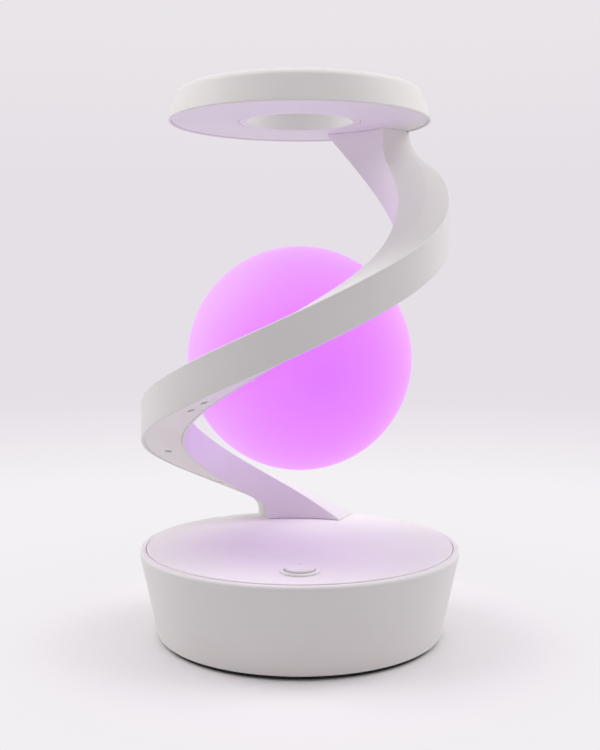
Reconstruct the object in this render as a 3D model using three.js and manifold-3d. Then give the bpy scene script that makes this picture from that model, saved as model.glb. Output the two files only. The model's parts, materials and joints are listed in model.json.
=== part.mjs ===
// A table lamp: a weighted round base with a push button, a ribbon arm that climbs one turn round a glowing
// globe, and a ring head with a hole through it. Millimetres, +Z up, the origin on the floor under the middle
// of the base. The button is on the -Y side. A turn is an angle in degrees from +X towards +Y, and it keeps
// counting past 360 as the arm climbs.

import * as THREE from "three";
import { mergeVertices } from "three/addons/utils/BufferGeometryUtils.js";
import Module from "manifold-3d";

const wasm = await Module();
wasm.setup();

// Clearances
const seatGap = 0.3; // between pieces that rest on each other
const overrun = 1; // how far a cutter passes the face that it cuts

// Base
const rimRadius = 75;
const rimHeight = 42.6;
const rimRound = 1.4;
const rimWidth = 2.7; // from the widest edge in to the seam round the top plate
const bowlTaper = 7.8; // how far the bowl draws in from its rim to its foot
const bowlFootRound = 1.2;
const bowlWall = 2.4;
const plateThickness = 2.6;
const plateEdge = 0.5;
const ledgeWidth = 3;
const ledgeThickness = 2;
const bottomThickness = 3.2;
const bottomLipWidth = 4;
const rubberHeight = 1.5;
const rubberWidth = 6.6;
const rubberInset = 1.6; // how far the rubber ring stands in from the bowl's edge

// Screws that close the base, and their posts under the top plate
const baseScrewRadius = 1.4;
const baseScrewHeadRadius = 2.9;
const baseScrewHeadHeight = 1.3;
const baseScrewLength = 11;
const basePostRadius = 3.5;
const basePostGap = 11.2; // from the edge of the bowl's foot in to the posts
const basePostTurns = [45, 135, 225, 315];

// Weight
const weightGap = 3; // to the posts round it
const weightHoleRadius = 18;
const weightHeight = 6;

// Small screws: boards, foot and head
const smallScrewRadius = 1.2;
const smallScrewHeadRadius = 2.5;
const smallScrewHeadHeight = 1.4;
const smallPostRadius = 2.7;

// Main board, with its switch, chip and cable connector
const boardWidth = 44;
const boardDepth = 50;
const boardThickness = 1.6;
const boardDrop = 12.1; // from the underside of the top plate down to the board
const boardFrontReach = 9.6; // from the button's middle to the board's front edge
const boardPostGap = 5; // in from the board's side edges
const boardPostReach = 32; // back from the board's front edge
const boardScrewLength = 7;
const chipSize = 7;
const chipHeight = 1.1;
const chipSide = 12; // to the left of the board's middle
const chipReach = 18; // back from the board's front edge
const connectorWidth = 12;
const connectorDepth = 6;
const connectorHeight = 5;
const connectorGap = 4; // from the board's back edge to the connector's middle

// Push button, its bezel and the switch under it
const buttonReach = 22.6; // from the widest edge of the base in to the button's middle
const buttonRadius = 6.4;
const buttonProud = 1.9; // top of the cap above the top plate
const buttonEdge = 0.5;
const buttonDish = 0.35;
const buttonCapDepth = 4.4;
const buttonFlangeRadius = 7.5;
const buttonFlangeHeight = 1;
const buttonStemRadius = 2.2;
const buttonTravel = 0.9;
const markWidth = 0.7;
const markLength = 2.6;
const markDepth = 0.3;
const bezelRadius = 8.65;
const bezelProud = 0.9;
const bezelEdge = 0.4;
const bezelWall = 1;
const bezelSleeveDrop = 1.5; // below the top plate
const switchSize = 6;
const switchHeight = 5;
const plungerRadius = 1.6;
const plungerHeight = 1.9;

// Power inlet in the back of the bowl
const inletWidth = 8.9;
const inletHeight = 3.2;
const inletDepth = 7.4;
const inletWall = 0.3;
const inletCentreHeight = 16.9;
const inletRecess = 0.5;
const inletSlotClearance = 0.35;
const tongueWidth = 6.6;
const tongueThickness = 0.7;
const tongueSetBack = 1.2;
const inletBoardWidth = 22;
const inletBoardDepth = 18.6;
const inletScrewGap = 3; // in from the board's side edges
const inletScrewReach = 5; // back from the board's front edge
const inletScrewLength = 5;

// Arm: a ribbon of rectangular section. Its heights and radii go by stations an equal turn apart.
const undersideHeight = 238.5; // lower edge of the head above the floor
const bandHeight = 18;
const armWall = 1.6;
const armEdge = 0.6;
const armWidth = 19.9; // across the ribbon where it passes the globe
const armHeadWidth = 20.6; // across the ribbon under the head
const armBaseGap = 1.4; // from the widest edge of the base in to the arm's outer face
const armRimGap = 0.5; // from the lower edge of the head in to the arm's outer face
const armTip = 0.4; // least height of the tip that lies on the base
const firstStation = 60;
const stationStep = 45;
const riseShares = [-0.061, 0.072, 0.201, 0.318, 0.437, 0.568, 0.706, 0.853, 1.013, 1.185];
const bandShares = [0.95, 0.92, 0.97, 1.01, 1, 1, 1.05, 1.34, 1.14, 0.93];
const innerShares = [0.1, -0.04, 0, 0, -0.08, -0.05, 0.42, 0.73, 0.98, 1];
const outerShares = [0.14, 0.16, 0.03, -0.02, 0.06, 0.14, 0.21, 0.55, 0.95, 1];
const armStart = 67;
const armEnd = 429;
const footTurn = 108; // the end face of the foot
const footFillet = 5;
const headInnerTurn = 381; // the end face under the head, at its inner and its outer edge
const headOuterTurn = 387;
const headInnerFillet = 5; // between the top face and that end face, at its inner and its outer edge
const headOuterFillet = 11;
const tuckFrom = 368; // where the outer face draws in to the head's rim
const tipTurns = 8; // solid wedge at each end of the arm
const sliverTurn = 0.1;
const ringStep = 7;
const filletStep = 2;

// Cover under the arm, and its screws
const coverInset = 0.8;
const coverThickness = 2;
const coverBossRadius = 2.9;
const coverBossHeight = 2;
const coverRecessRadius = 1.85;
const coverRecessFloor = 0.9;
const coverScrewRadius = 0.9;
const coverScrewHeadRadius = 1.5;
const coverScrewHeadHeight = 0.8;
const coverScrewLength = 7;
const armBossRadius = 2.3;
const coverScrewTurns = [130, 173, 223.5, 231, 278, 330, 404];
const bracketScrewTurns = [223.5, 231];

// Screws that hold the foot to the base and the head to the arm
const footScrewTurns = [83, 101];
const footScrewLength = 7.6;
const clampScrewTurns = [392, 412];
const clampScrewInset = 7; // in from the arm's inner face
const clampBossLength = 6;
const clampScrewLength = 9;

// Cables inside the lamp
const headCableRadius = 1.2;
const globeCableRadius = 0.9;
const inletCableRadius = 1.2;
const cableWallGap = 2; // between a cable in the arm and the wall beside it
const cableHoleRadius = 3.4;
const plateHoleTurn = 92;
const headHoleTurn = 402;
const cableSideShift = 1.75;
const cableBend = 3.6;
const cableRun = 13; // straight out of the connector
const headCableDrop = 8.2; // below the underside of the top plate
const globeCableDrop = 4.6;
const clampHoleRadius = 2.4;

// Globe and the pieces that carry it
const globeClearance = 1.5; // to the arm's inner face
const globeWall = 1.8;
const globeTurn = 244;
const neckRadius = 7.2;
const collarFlangeRadius = 8.2;
const collarFlangeThickness = 0.9;
const collarPlugDepth = 5.7;
const collarTubeRadius = 4.8;
const collarTubeLength = 7.7;
const studRadius = 3;
const studBoreRadius = 1.4;
const studHeadRadius = 4.2;
const studHeadHeight = 2.2;
const studReach = 8; // how far the stud goes into the collar
const bracketThickness = 1.2;
const bracketStart = 217;
const bracketFlangeEnd = 235;
const bracketEnd = 250;
const bracketFlangeReach = 4;
const globeBoardRadius = 6.6;
const ledBoardThickness = 1.2;
const ledSize = 3;
const ledHeight = 1.1;
const globeLedCircle = 3.9;
const globeLedCount = 3;

// Head
const headRadius = 60.1;
const headHeight = 14.5;
const headTaper = 4.7; // how far the head draws in from its lower edge to its top
const headRound = 4.5;
const headLipRound = 0.8;
const headLipWidth = 1.4;
const headWall = 2.2;
const headRingWidth = 35.6; // from the lower edge of the head in to the hole
const holeRingWall = 1.6;
const holeRingFlange = 3.5;
const holeRingFlangeThickness = 1.2;
const diffuserThickness = 2;
const diffuserRecess = 0.6;
const diffuserGap = 0.5;
const headBoardHoleGap = 6; // from the hole ring's flange out to the light board
const headBoardRimGap = 8.1; // from the lower edge of the head in to the light board
const headLedCount = 6;
const clampThickness = 1.2;
const clampStart = 386;
const clampEnd = 419;
const clampRimGap = 3;

// Facets
const wideFacets = 48;
const globeFacets = 32;
const globeSteps = 15;
const globeInsideSteps = 9;
const midFacets = 24;
const smallFacets = 12;
const screwFacets = 8;
const cableSides = 8;
const headCableSteps = 60;
const globeCableSteps = 46;
const inletCableSteps = 16;
const edgeSteps = 2;
const rimSteps = 3;
const headRoundSteps = 4;

// Radii and places that follow from the sizes above
const armBroadRadius = rimRadius - armBaseGap;
const armGlobeRadius = armBroadRadius - armWidth;
const globeRadius = armGlobeRadius - globeClearance;
const armRimRadius = headRadius - armRimGap;
const armHeadRadius = armRimRadius - armHeadWidth;
const bowlFootRadius = rimRadius - bowlTaper;
const basePostCircle = bowlFootRadius - basePostGap;
const weightRadius = basePostCircle - basePostRadius - weightGap;
const buttonY = buttonReach - rimRadius;
const boardFrontY = buttonY - boardFrontReach;
const boardBackY = boardFrontY + boardDepth;
const connectorY = boardBackY - connectorGap;
const headTopRadius = headRadius - headTaper;
const holeRadius = headRadius - headRingWidth;
const headBoardInnerRadius = holeRadius + holeRingFlange + headBoardHoleGap;
const headBoardOuterRadius = headRadius - headBoardRimGap;
const headLedCircle = (headBoardInnerRadius + headBoardOuterRadius) / 2;

// Heights that follow from the sizes above
const bowlBottom = rubberHeight + seatGap;
const plateBottom = rimHeight - plateThickness;
const ledgeTop = plateBottom - seatGap;
const plateSeatRadius = rimRadius - rimWidth;
const bottomTop = bowlBottom + bottomThickness;
const bottomSeatRadius = bowlFootRadius - bowlFootRound - bowlWall + bowlFootRound / 2;
const boardTop = plateBottom - boardDrop;
const boardBottom = boardTop - boardThickness;
const switchTop = boardTop + seatGap + switchHeight;
const plungerTop = switchTop + plungerHeight;
const headTop = undersideHeight + headHeight;
const headCeiling = headTop - headWall;
const diffuserBottom = undersideHeight + diffuserRecess;
const diffuserTop = diffuserBottom + diffuserThickness;
const clampBottom = diffuserTop + seatGap;
const clampTop = clampBottom + clampThickness;
const headBoardBottom = headCeiling - seatGap - ledBoardThickness;
const stubTop = undersideHeight - seatGap;
const armFloor = rimHeight + seatGap;

// Materials
function paint(color, roughness, metalness = 0) {
  return new THREE.MeshStandardMaterial({ color, roughness, metalness });
}
const whiteShell = paint(0xeeecea, 0.5);
const whitePlate = paint(0xe9e6ea, 0.45);
const whiteTrim = paint(0xe6e3e8, 0.4);
const milkyDiffuser = paint(0xdcd6e2, 0.55);
const globeGlow = new THREE.MeshStandardMaterial({ color: 0xec8cff, roughness: 0.6, emissive: 0xe57dff });
const blackRubber = paint(0x1c1b1c, 0.9);
const plainSteel = paint(0xb9bbbe, 0.35, 1);
const boardGreen = paint(0x1f6b4a, 0.6);
const blackPlastic = paint(0x232326, 0.55);
const cableJacket = paint(0xdad8d6, 0.6);
const ledPackage = paint(0xf4f1dc, 0.4);

const lamp = new THREE.Group();

// Adds one named piece, given as a geometry or as a solid, to a group.
function addPiece(name, shape, material, parent = lamp) {
  const mesh = new THREE.Mesh(shape.isBufferGeometry ? shape : geometryOf(shape), material);
  mesh.name = name;
  parent.add(mesh);
  return mesh;
}

// A closed geometry as a solid that can be cut and joined.
function solidOf(geometry) {
  const bare = geometry.clone();
  bare.deleteAttribute("normal");
  bare.deleteAttribute("uv");
  const merged = mergeVertices(bare);
  return new wasm.Manifold(
    new wasm.Mesh({
      numProp: 3,
      vertProperties: merged.attributes.position.array,
      triVerts: new Uint32Array(merged.index.array),
    }),
  );
}

function geometryOf(solid) {
  const { vertProperties, triVerts } = solid.getMesh();
  const geometry = new THREE.BufferGeometry();
  geometry.setAttribute("position", new THREE.BufferAttribute(vertProperties, 3));
  geometry.setIndex(new THREE.BufferAttribute(triVerts, 1));
  geometry.computeVertexNormals();
  return geometry;
}

const join = (first, ...others) => others.reduce((sum, next) => sum.add(next), first);
const cut = (first, ...others) => others.reduce((rest, next) => rest.subtract(next), first);

// A turned piece from [radius, height] points, up the outside and down the inside.
function turned(profile, facets) {
  const points = profile.map(([radius, height]) => new THREE.Vector2(radius, height));
  return new THREE.LatheGeometry(points, facets).rotateX(Math.PI / 2);
}

// The same with the first point repeated at the end, for a ring that doesn't reach the axis.
const turnedRing = (profile, facets) => turned([...profile, profile[0]], facets);

// A flat ring standing on a height.
function ringPlate(inner, outer, low, thickness) {
  const high = low + thickness;
  return turnedRing([[inner, low], [outer, low], [outer, high], [inner, high]], wideFacets);
}

// Points on a round stretch of a profile, from one angle to another in degrees.
function arc(radius, height, round, from, to, steps) {
  return Array.from({ length: steps + 1 }, (_, i) => {
    const angle = THREE.MathUtils.degToRad(THREE.MathUtils.lerp(from, to, i / steps));
    return [radius + round * Math.cos(angle), height + round * Math.sin(angle)];
  });
}

// An upright cylinder between two heights.
function rod(radius, low, high, x = 0, y = 0, facets = smallFacets) {
  const geometry = new THREE.CylinderGeometry(radius, radius, high - low, facets).rotateX(Math.PI / 2);
  return geometry.translate(x, y, (low + high) / 2);
}

// A box standing on a height, centred on x and y.
function block(width, depth, height, x, y, low) {
  return new THREE.BoxGeometry(width, depth, height).translate(x, y, low + height / 2);
}

const rodSolid = (...sizes) => solidOf(rod(...sizes));
const blockSolid = (...sizes) => solidOf(block(...sizes));

// A pan-head screw that points up from its head, whose upper face is at height zero.
function screw(radius, length, headRadius, headHeight) {
  return turned([[0, -headHeight], [headRadius, -headHeight], [headRadius, 0], [radius, 0], [radius, length],
    [0, length]], screwFacets);
}

// A point at a radius, a turn and a height.
function polar(radius, turn, height) {
  const angle = THREE.MathUtils.degToRad(turn);
  return new THREE.Vector3(radius * Math.cos(angle), radius * Math.sin(angle), height);
}

// A closed skin over rings of points that follow the arm's way round. Each ring goes from its inner lower
// corner outwards, up and back.
function loft(rings) {
  const count = rings[0].length;
  const faces = [];
  for (let i = 0; i + 1 < rings.length; i++) {
    for (let j = 0; j < count; j++) {
      const here = i * count + j;
      const beside = i * count + ((j + 1) % count);
      faces.push(here, beside + count, beside, here, here + count, beside + count);
    }
  }
  const last = (rings.length - 1) * count;
  for (let j = 1; j + 1 < count; j++) {
    faces.push(0, j, j + 1);
    faces.push(last, last + j + 1, last + j);
  }
  const geometry = new THREE.BufferGeometry().setFromPoints(rings.flat());
  geometry.setIndex(faces);
  return geometry;
}

// Turns from one to another in equal steps, no longer than the given step.
function turnsBetween(from, to, step) {
  const count = Math.max(1, Math.ceil((to - from) / step));
  return Array.from({ length: count + 1 }, (_, i) => THREE.MathUtils.lerp(from, to, i / count));
}

// The arm's laws
const stationTurns = riseShares.map((_, i) => firstStation + i * stationStep);
function law(shares) {
  const curve = new THREE.CubicInterpolant(stationTurns, shares, 1);
  return (turn) => curve.evaluate(turn)[0];
}
const riseLaw = law(riseShares);
const bandLaw = law(bandShares);
const innerLaw = law(innerShares);
const outerLaw = law(outerShares);

const middleHeight = (turn) => THREE.MathUtils.lerp(rimHeight, undersideHeight, riseLaw(turn));
const halfBand = (turn) => (bandHeight * bandLaw(turn)) / 2;
const innerRadius = (turn) => THREE.MathUtils.lerp(armGlobeRadius, armHeadRadius, innerLaw(turn));
function outerRadius(turn) {
  const free = THREE.MathUtils.lerp(armBroadRadius, armRimRadius, outerLaw(turn));
  return THREE.MathUtils.lerp(free, armRimRadius, THREE.MathUtils.smoothstep(turn, tuckFrom, headOuterTurn));
}
const middleRadius = (turn) => (innerRadius(turn) + outerRadius(turn)) / 2;
const arcTurn = (length, turn) => THREE.MathUtils.radToDeg(length / middleRadius(turn));

// How far a concave fillet stands off its corner, a distance away from it.
function filletRise(fillet, away) {
  return away < fillet ? fillet - Math.sqrt(fillet ** 2 - (fillet - away) ** 2) : 0;
}

// Top face, which curves up to the end face under the head, and underside, which curves down to the foot's.
const headFillet = (endTurn) =>
  THREE.MathUtils.mapLinear(endTurn, headInnerTurn, headOuterTurn, headInnerFillet, headOuterFillet);
function topHeight(turn, endTurn) {
  if (turn >= endTurn) return stubTop;
  const away = THREE.MathUtils.degToRad(endTurn - turn) * middleRadius(turn);
  const free = middleHeight(turn) + halfBand(turn) + filletRise(headFillet(endTurn), away);
  return THREE.MathUtils.clamp(free, armFloor + armTip, stubTop);
}
function bottomHeight(turn) {
  if (turn <= footTurn) return armFloor;
  const away = THREE.MathUtils.degToRad(turn - footTurn) * middleRadius(turn);
  return Math.max(middleHeight(turn) - halfBand(turn) - filletRise(footFillet, away), armFloor);
}

const wallTurn = arcTurn(armWall, footTurn);
const footFilletTurn = arcTurn(footFillet, footTurn);
const headFilletTurn = arcTurn(headOuterFillet, headInnerTurn);
const coverStart = footTurn + footFilletTurn + wallTurn;
const cavityStart = armStart + tipTurns;
const cavityEnd = armEnd - tipTurns;
const armTurns = [
  ...turnsBetween(armStart, footTurn, ringStep),
  ...turnsBetween(footTurn + sliverTurn, footTurn + footFilletTurn, filletStep / 2),
  ...turnsBetween(footTurn + footFilletTurn + ringStep, headInnerTurn - headFilletTurn, ringStep),
  ...turnsBetween(headInnerTurn - headFilletTurn + filletStep, headOuterTurn, filletStep),
  ...turnsBetween(headOuterTurn + ringStep, armEnd, ringStep),
];

// One section of the arm with its long edges taken off.
function armRing(turn) {
  const [inner, outer] = [innerRadius(turn), outerRadius(turn)];
  const bottom = bottomHeight(turn);
  const innerTop = topHeight(turn, headInnerTurn);
  const outerTop = topHeight(turn, headOuterTurn);
  const edge = Math.min(armEdge, (outerTop - bottom) / 4);
  return [
    polar(inner + edge, turn, bottom),
    polar(outer - edge, turn, bottom),
    polar(outer, turn, bottom + edge),
    polar(outer, turn, outerTop - edge),
    polar(outer - edge, turn, outerTop),
    polar(inner + edge, turn, innerTop),
    polar(inner, turn, innerTop - edge),
    polar(inner, turn, bottom + edge),
  ];
}

// A plain four-cornered section.
function plainRing(turn, inner, outer, bottom, innerTop, outerTop = innerTop) {
  return [polar(inner, turn, bottom), polar(outer, turn, bottom), polar(outer, turn, outerTop),
    polar(inner, turn, innerTop)];
}

// The hollow in the arm. It is open down into the base, has a floor over the foot's end face, and from the
// cover's start on is open along the underside.
const hollowTop = (turn, endTurn) => topHeight(turn - wallTurn, endTurn) - armWall;
function hollowRing(turn) {
  let bottom = bottomHeight(turn) - overrun;
  if (turn < footTurn - wallTurn) bottom = armFloor - overrun;
  else if (turn < coverStart) bottom = bottomHeight(turn + wallTurn + sliverTurn) + armWall;
  return plainRing(turn, innerRadius(turn) + armWall, outerRadius(turn) - armWall, bottom,
    hollowTop(turn, headInnerTurn), hollowTop(turn, headOuterTurn));
}
const hollowTurns = [
  ...turnsBetween(cavityStart, footTurn - wallTurn - sliverTurn, ringStep),
  ...turnsBetween(footTurn - wallTurn, coverStart - sliverTurn, filletStep),
  ...turnsBetween(coverStart, headInnerTurn - headFilletTurn, ringStep),
  ...turnsBetween(headInnerTurn - headFilletTurn + filletStep, headOuterTurn + wallTurn, filletStep),
  ...turnsBetween(headOuterTurn + wallTurn + ringStep, cavityEnd, ringStep),
];

// The frame of a place in the middle of the underside: X across the arm, Y along it and Z up into it.
function undersideFrame(turn, lift = 0) {
  const at = (t) => polar(middleRadius(t), t, bottomHeight(t));
  const along = at(turn + sliverTurn).sub(at(turn - sliverTurn)).normalize();
  const up = new THREE.Vector3().crossVectors(polar(1, turn, 0), along).normalize();
  const across = new THREE.Vector3().crossVectors(along, up);
  const origin = at(turn).addScaledVector(up, lift);
  return new THREE.Matrix4().makeBasis(across, along, up).setPosition(origin);
}
const inFrame = (geometry, frame) => solidOf(geometry.applyMatrix4(frame));

// Where the pieces round a cover screw lie above the underside, measured square to it.
const bossFoot = coverInset + coverThickness / 2;
const bossTop = coverInset + coverThickness + coverBossHeight;
const recessFloor = bossTop - coverRecessFloor;
const bracketLow = bossTop + 2 * seatGap;
const bracketHigh = bracketLow + bracketThickness;
const isBracketScrew = (turn) => bracketScrewTurns.includes(turn);
const armBossStart = (turn) => (isBracketScrew(turn) ? bracketHigh : bossTop) + seatGap;
const upTilt = (turn) => new THREE.Vector3().setFromMatrixColumn(undersideFrame(turn), 2).z;
const boreRadius = (screwRadius) => screwRadius + seatGap;
const boreSolid = (radius, low, high, x, y) => rodSolid(boreRadius(radius), low, high, x, y, screwFacets);

// How far a line square to the underside runs before it is in the arm's top wall. It leans back as it climbs.
function reachToTop(turn) {
  const frame = undersideFrame(turn);
  const up = new THREE.Vector3().setFromMatrixColumn(frame, 2);
  const foot = new THREE.Vector3().setFromMatrixPosition(frame);
  const at = foot.clone();
  const level = (point) => point.clone().setZ(0);
  const turnBack = () => THREE.MathUtils.radToDeg(level(foot).angleTo(level(at)));
  while (at.z < topHeight(turn - turnBack(), headOuterTurn) - armWall) at.addScaledVector(up, armWall / 4);
  return at.distanceTo(foot) + armWall / 4;
}

// Arm channel: the ribbon, hollowed, with a boss for each screw
const armBosses = coverScrewTurns.map((turn) => {
  const boss = rod(armBossRadius, armBossStart(turn), reachToTop(turn), 0, 0, screwFacets);
  return inFrame(boss, undersideFrame(turn));
});
const armBores = coverScrewTurns.map((turn) => {
  const high = recessFloor + coverScrewLength + seatGap;
  return inFrame(rod(boreRadius(coverScrewRadius), 0, high, 0, 0, screwFacets), undersideFrame(turn));
});
const footPlaces = footScrewTurns.map((turn) => polar(middleRadius(turn), turn, 0));
const footBosses = footPlaces.map(({ x, y }, i) => {
  const lowSide = footScrewTurns[i] - arcTurn(smallPostRadius, footScrewTurns[i]);
  const high = topHeight(lowSide, headInnerTurn) - armWall / 2;
  return rodSolid(smallPostRadius, armFloor, high, x, y, screwFacets);
});
const footBores = footPlaces.map(({ x, y }) =>
  boreSolid(smallScrewRadius, plateBottom, plateBottom + footScrewLength + seatGap, x, y));
const clampPlaces = clampScrewTurns.map((turn) => polar(innerRadius(turn) + clampScrewInset, turn, 0));
const clampBosses = clampPlaces.map(({ x, y }) =>
  rodSolid(smallPostRadius, stubTop - armWall - clampBossLength, stubTop - armWall / 2, x, y, screwFacets));
const clampBores = clampPlaces.map(({ x, y }) =>
  boreSolid(smallScrewRadius, clampTop - clampScrewLength - seatGap, clampTop + overrun, x, y));
const headHole = polar(middleRadius(headHoleTurn) + cableSideShift, headHoleTurn, 0);
const headHoleLow = stubTop - armWall - overrun;
const headHoleSolid = rodSolid(clampHoleRadius, headHoleLow, clampTop + overrun, headHole.x, headHole.y);

// The globe's frame: its middle at the origin and +Z out through its neck, towards the arm.
const globeHeight = middleHeight(globeTurn);
const globeGroup = new THREE.Group();
globeGroup.position.set(0, 0, globeHeight);
globeGroup.quaternion.setFromUnitVectors(new THREE.Vector3(0, 0, 1), polar(1, globeTurn, 0));
globeGroup.updateMatrix();
lamp.add(globeGroup);
const tabInner = innerRadius(globeTurn) + armWall + seatGap;
const tabOuter = tabInner + bracketThickness;
const studHeadFace = tabOuter + seatGap;
const studHole = inFrame(rod(boreRadius(studRadius), globeRadius, studHeadFace), globeGroup.matrix);

const armBody = cut(solidOf(loft(armTurns.map(armRing))), solidOf(loft(hollowTurns.map(hollowRing))));
const armChannel = cut(join(armBody, ...armBosses, ...footBosses, ...clampBosses), ...armBores, ...footBores,
  ...clampBores, headHoleSolid, studHole);
addPiece("arm_channel", armChannel, whiteShell);

// Arm cover: a strip let into the underside, with a recessed boss at each screw
const coverRing = (turn) =>
  plainRing(turn, innerRadius(turn) + armWall + seatGap, outerRadius(turn) - armWall - seatGap,
    bottomHeight(turn) + coverInset, bottomHeight(turn) + coverInset + coverThickness);
const coverFirst = coverStart + arcTurn(seatGap, coverStart);
const coverLast = cavityEnd - arcTurn(seatGap, cavityEnd);
const isUnderCover = (turn) => turn > coverFirst + sliverTurn && turn < coverLast - sliverTurn;
const coverTurns = [coverFirst, ...hollowTurns.filter(isUnderCover), coverLast];
const coverBosses = coverScrewTurns.map((turn) =>
  inFrame(rod(coverBossRadius, bossFoot, bossTop, 0, 0, screwFacets), undersideFrame(turn)));
const coverRecesses = coverScrewTurns.map((turn) =>
  inFrame(rod(coverRecessRadius, -overrun, recessFloor), undersideFrame(turn)));
addPiece("arm_cover", cut(join(solidOf(loft(coverTurns.map(coverRing))), ...coverBosses), ...coverRecesses,
  ...armBores), whitePlate);

coverScrewTurns.forEach((turn, i) => {
  const shape = screw(coverScrewRadius, coverScrewLength, coverScrewHeadRadius, coverScrewHeadHeight);
  const mesh = addPiece(`cover_screw_${i + 1}`, shape, plainSteel);
  const frame = undersideFrame(turn, recessFloor - seatGap);
  mesh.position.setFromMatrixPosition(frame);
  mesh.quaternion.setFromRotationMatrix(frame);
});

// Bracket in the arm that the globe's stud is clamped to
const bracketInner = (turn) => innerRadius(turn) + armWall + seatGap;
function tabRing(turn) {
  const low = bottomHeight(turn) + coverInset + coverThickness + seatGap;
  const high = hollowTop(turn, headInnerTurn) - seatGap;
  return plainRing(turn, bracketInner(turn), bracketInner(turn) + bracketThickness, low, high);
}
function flangeRing(turn) {
  const low = bottomHeight(turn) + bracketLow / upTilt(turn);
  const high = low + bracketThickness / upTilt(turn);
  return plainRing(turn, bracketInner(turn), middleRadius(turn) + bracketFlangeReach, low, high);
}
const bracketTurns = (end) => turnsBetween(bracketStart, end, ringStep / 2);
const bracketTab = solidOf(loft(bracketTurns(bracketEnd).map(tabRing)));
const bracketFlange = solidOf(loft(bracketTurns(bracketFlangeEnd).map(flangeRing)));
addPiece("globe_bracket", cut(join(bracketTab, bracketFlange), ...armBores, studHole), plainSteel);

// Globe: stud, collar, shell and the light board inside
const studEnd = globeRadius - studReach;
const studMouth = studHeadFace + studHeadHeight;
const studProfile = [
  [studBoreRadius, studEnd],
  [studRadius, studEnd],
  [studRadius, studHeadFace],
  [studHeadRadius, studHeadFace],
  [studHeadRadius, studMouth],
  [studBoreRadius, studMouth],
];
addPiece("globe_stud", turnedRing(studProfile, smallFacets), plainSteel, globeGroup);

const neckHeight = Math.sqrt(globeRadius ** 2 - neckRadius ** 2);
const collarSeat = neckHeight + seatGap;
const collarPlugEnd = collarSeat - collarPlugDepth;
const collarEnd = collarPlugEnd - collarTubeLength;
const collarBore = boreRadius(studRadius);
const collarProfile = [
  [collarBore, collarEnd],
  [collarTubeRadius, collarEnd],
  [collarTubeRadius, collarPlugEnd],
  [neckRadius - seatGap, collarPlugEnd],
  [neckRadius - seatGap, collarSeat],
  [collarFlangeRadius, collarSeat],
  [collarFlangeRadius, collarSeat + collarFlangeThickness],
  [collarBore, collarSeat + collarFlangeThickness],
];
addPiece("globe_collar", turnedRing(collarProfile, midFacets), whiteTrim, globeGroup);

const globeInside = globeRadius - globeWall;
const neckAngle = (radius) => 90 - THREE.MathUtils.radToDeg(Math.asin(neckRadius / radius));
const globeProfile = [
  [0, -globeRadius],
  ...arc(0, 0, globeRadius, -90, neckAngle(globeRadius), globeSteps).slice(1),
  ...arc(0, 0, globeInside, neckAngle(globeInside), -90, globeInsideSteps).slice(0, -1),
  [0, -globeInside],
];
addPiece("globe_shell", turned(globeProfile, globeFacets), globeGlow, globeGroup);

const globeBoardTop = collarEnd - seatGap;
const globeBoardBottom = globeBoardTop - ledBoardThickness;
const globeBoard = rod(globeBoardRadius, globeBoardBottom, globeBoardTop, 0, 0, midFacets);
addPiece("globe_led_board", globeBoard, boardGreen, globeGroup);
for (let i = 0; i < globeLedCount; i++) {
  const { x, y } = polar(globeLedCircle, (i * 360) / globeLedCount, 0);
  const low = globeBoardBottom - seatGap - ledHeight;
  addPiece(`globe_led_${i + 1}`, block(ledSize, ledSize, ledHeight, x, y, low), ledPackage, globeGroup);
}

// Base bowl: the tapered wall with a ledge for the top plate and a lip over the bottom cover
const bowlWidest = rimHeight - 2 * rimRound;
const bowlRadius = (height) => THREE.MathUtils.mapLinear(height, bowlBottom + bowlFootRound, bowlWidest,
  bowlFootRadius, rimRadius);
const lipLow = bottomTop + seatGap;
const lipHigh = lipLow + ledgeThickness;
const ledgeRadius = plateSeatRadius - ledgeWidth;
const bowlProfile = [
  [bottomSeatRadius, bowlBottom],
  ...arc(bowlFootRadius - bowlFootRound, bowlBottom + bowlFootRound, bowlFootRound, -90, 0, edgeSteps),
  [rimRadius, bowlWidest],
  ...arc(rimRadius - rimRound, rimHeight - rimRound, rimRound, 0, 90, rimSteps),
  [plateSeatRadius, rimHeight],
  [plateSeatRadius, ledgeTop],
  [ledgeRadius, ledgeTop],
  [ledgeRadius, ledgeTop - ledgeThickness],
  [bowlRadius(ledgeTop - 2 * ledgeThickness) - bowlWall, ledgeTop - 2 * ledgeThickness],
  [bowlRadius(lipHigh) - bowlWall, lipHigh],
  [bottomSeatRadius - bottomLipWidth, lipHigh],
  [bottomSeatRadius - bottomLipWidth, lipLow],
  [bottomSeatRadius, lipLow],
];
const inletFace = bowlRadius(inletCentreHeight) - inletRecess;
const slotHalf = inletHeight / 2 + inletSlotClearance;
const slotRound = (side) =>
  rod(slotHalf, -bowlWall - ledgeWidth, bowlWall + ledgeWidth).rotateX(Math.PI / 2)
    .translate((side * (inletWidth - inletHeight)) / 2, inletFace, inletCentreHeight);
const slotMiddle = block(inletWidth - inletHeight, 2 * (bowlWall + ledgeWidth), 2 * slotHalf, 0, inletFace,
  inletCentreHeight - slotHalf);
addPiece("base_bowl", cut(solidOf(turnedRing(bowlProfile, wideFacets)), solidOf(slotRound(-1)),
  solidOf(slotMiddle), solidOf(slotRound(1))), whiteShell);

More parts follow.
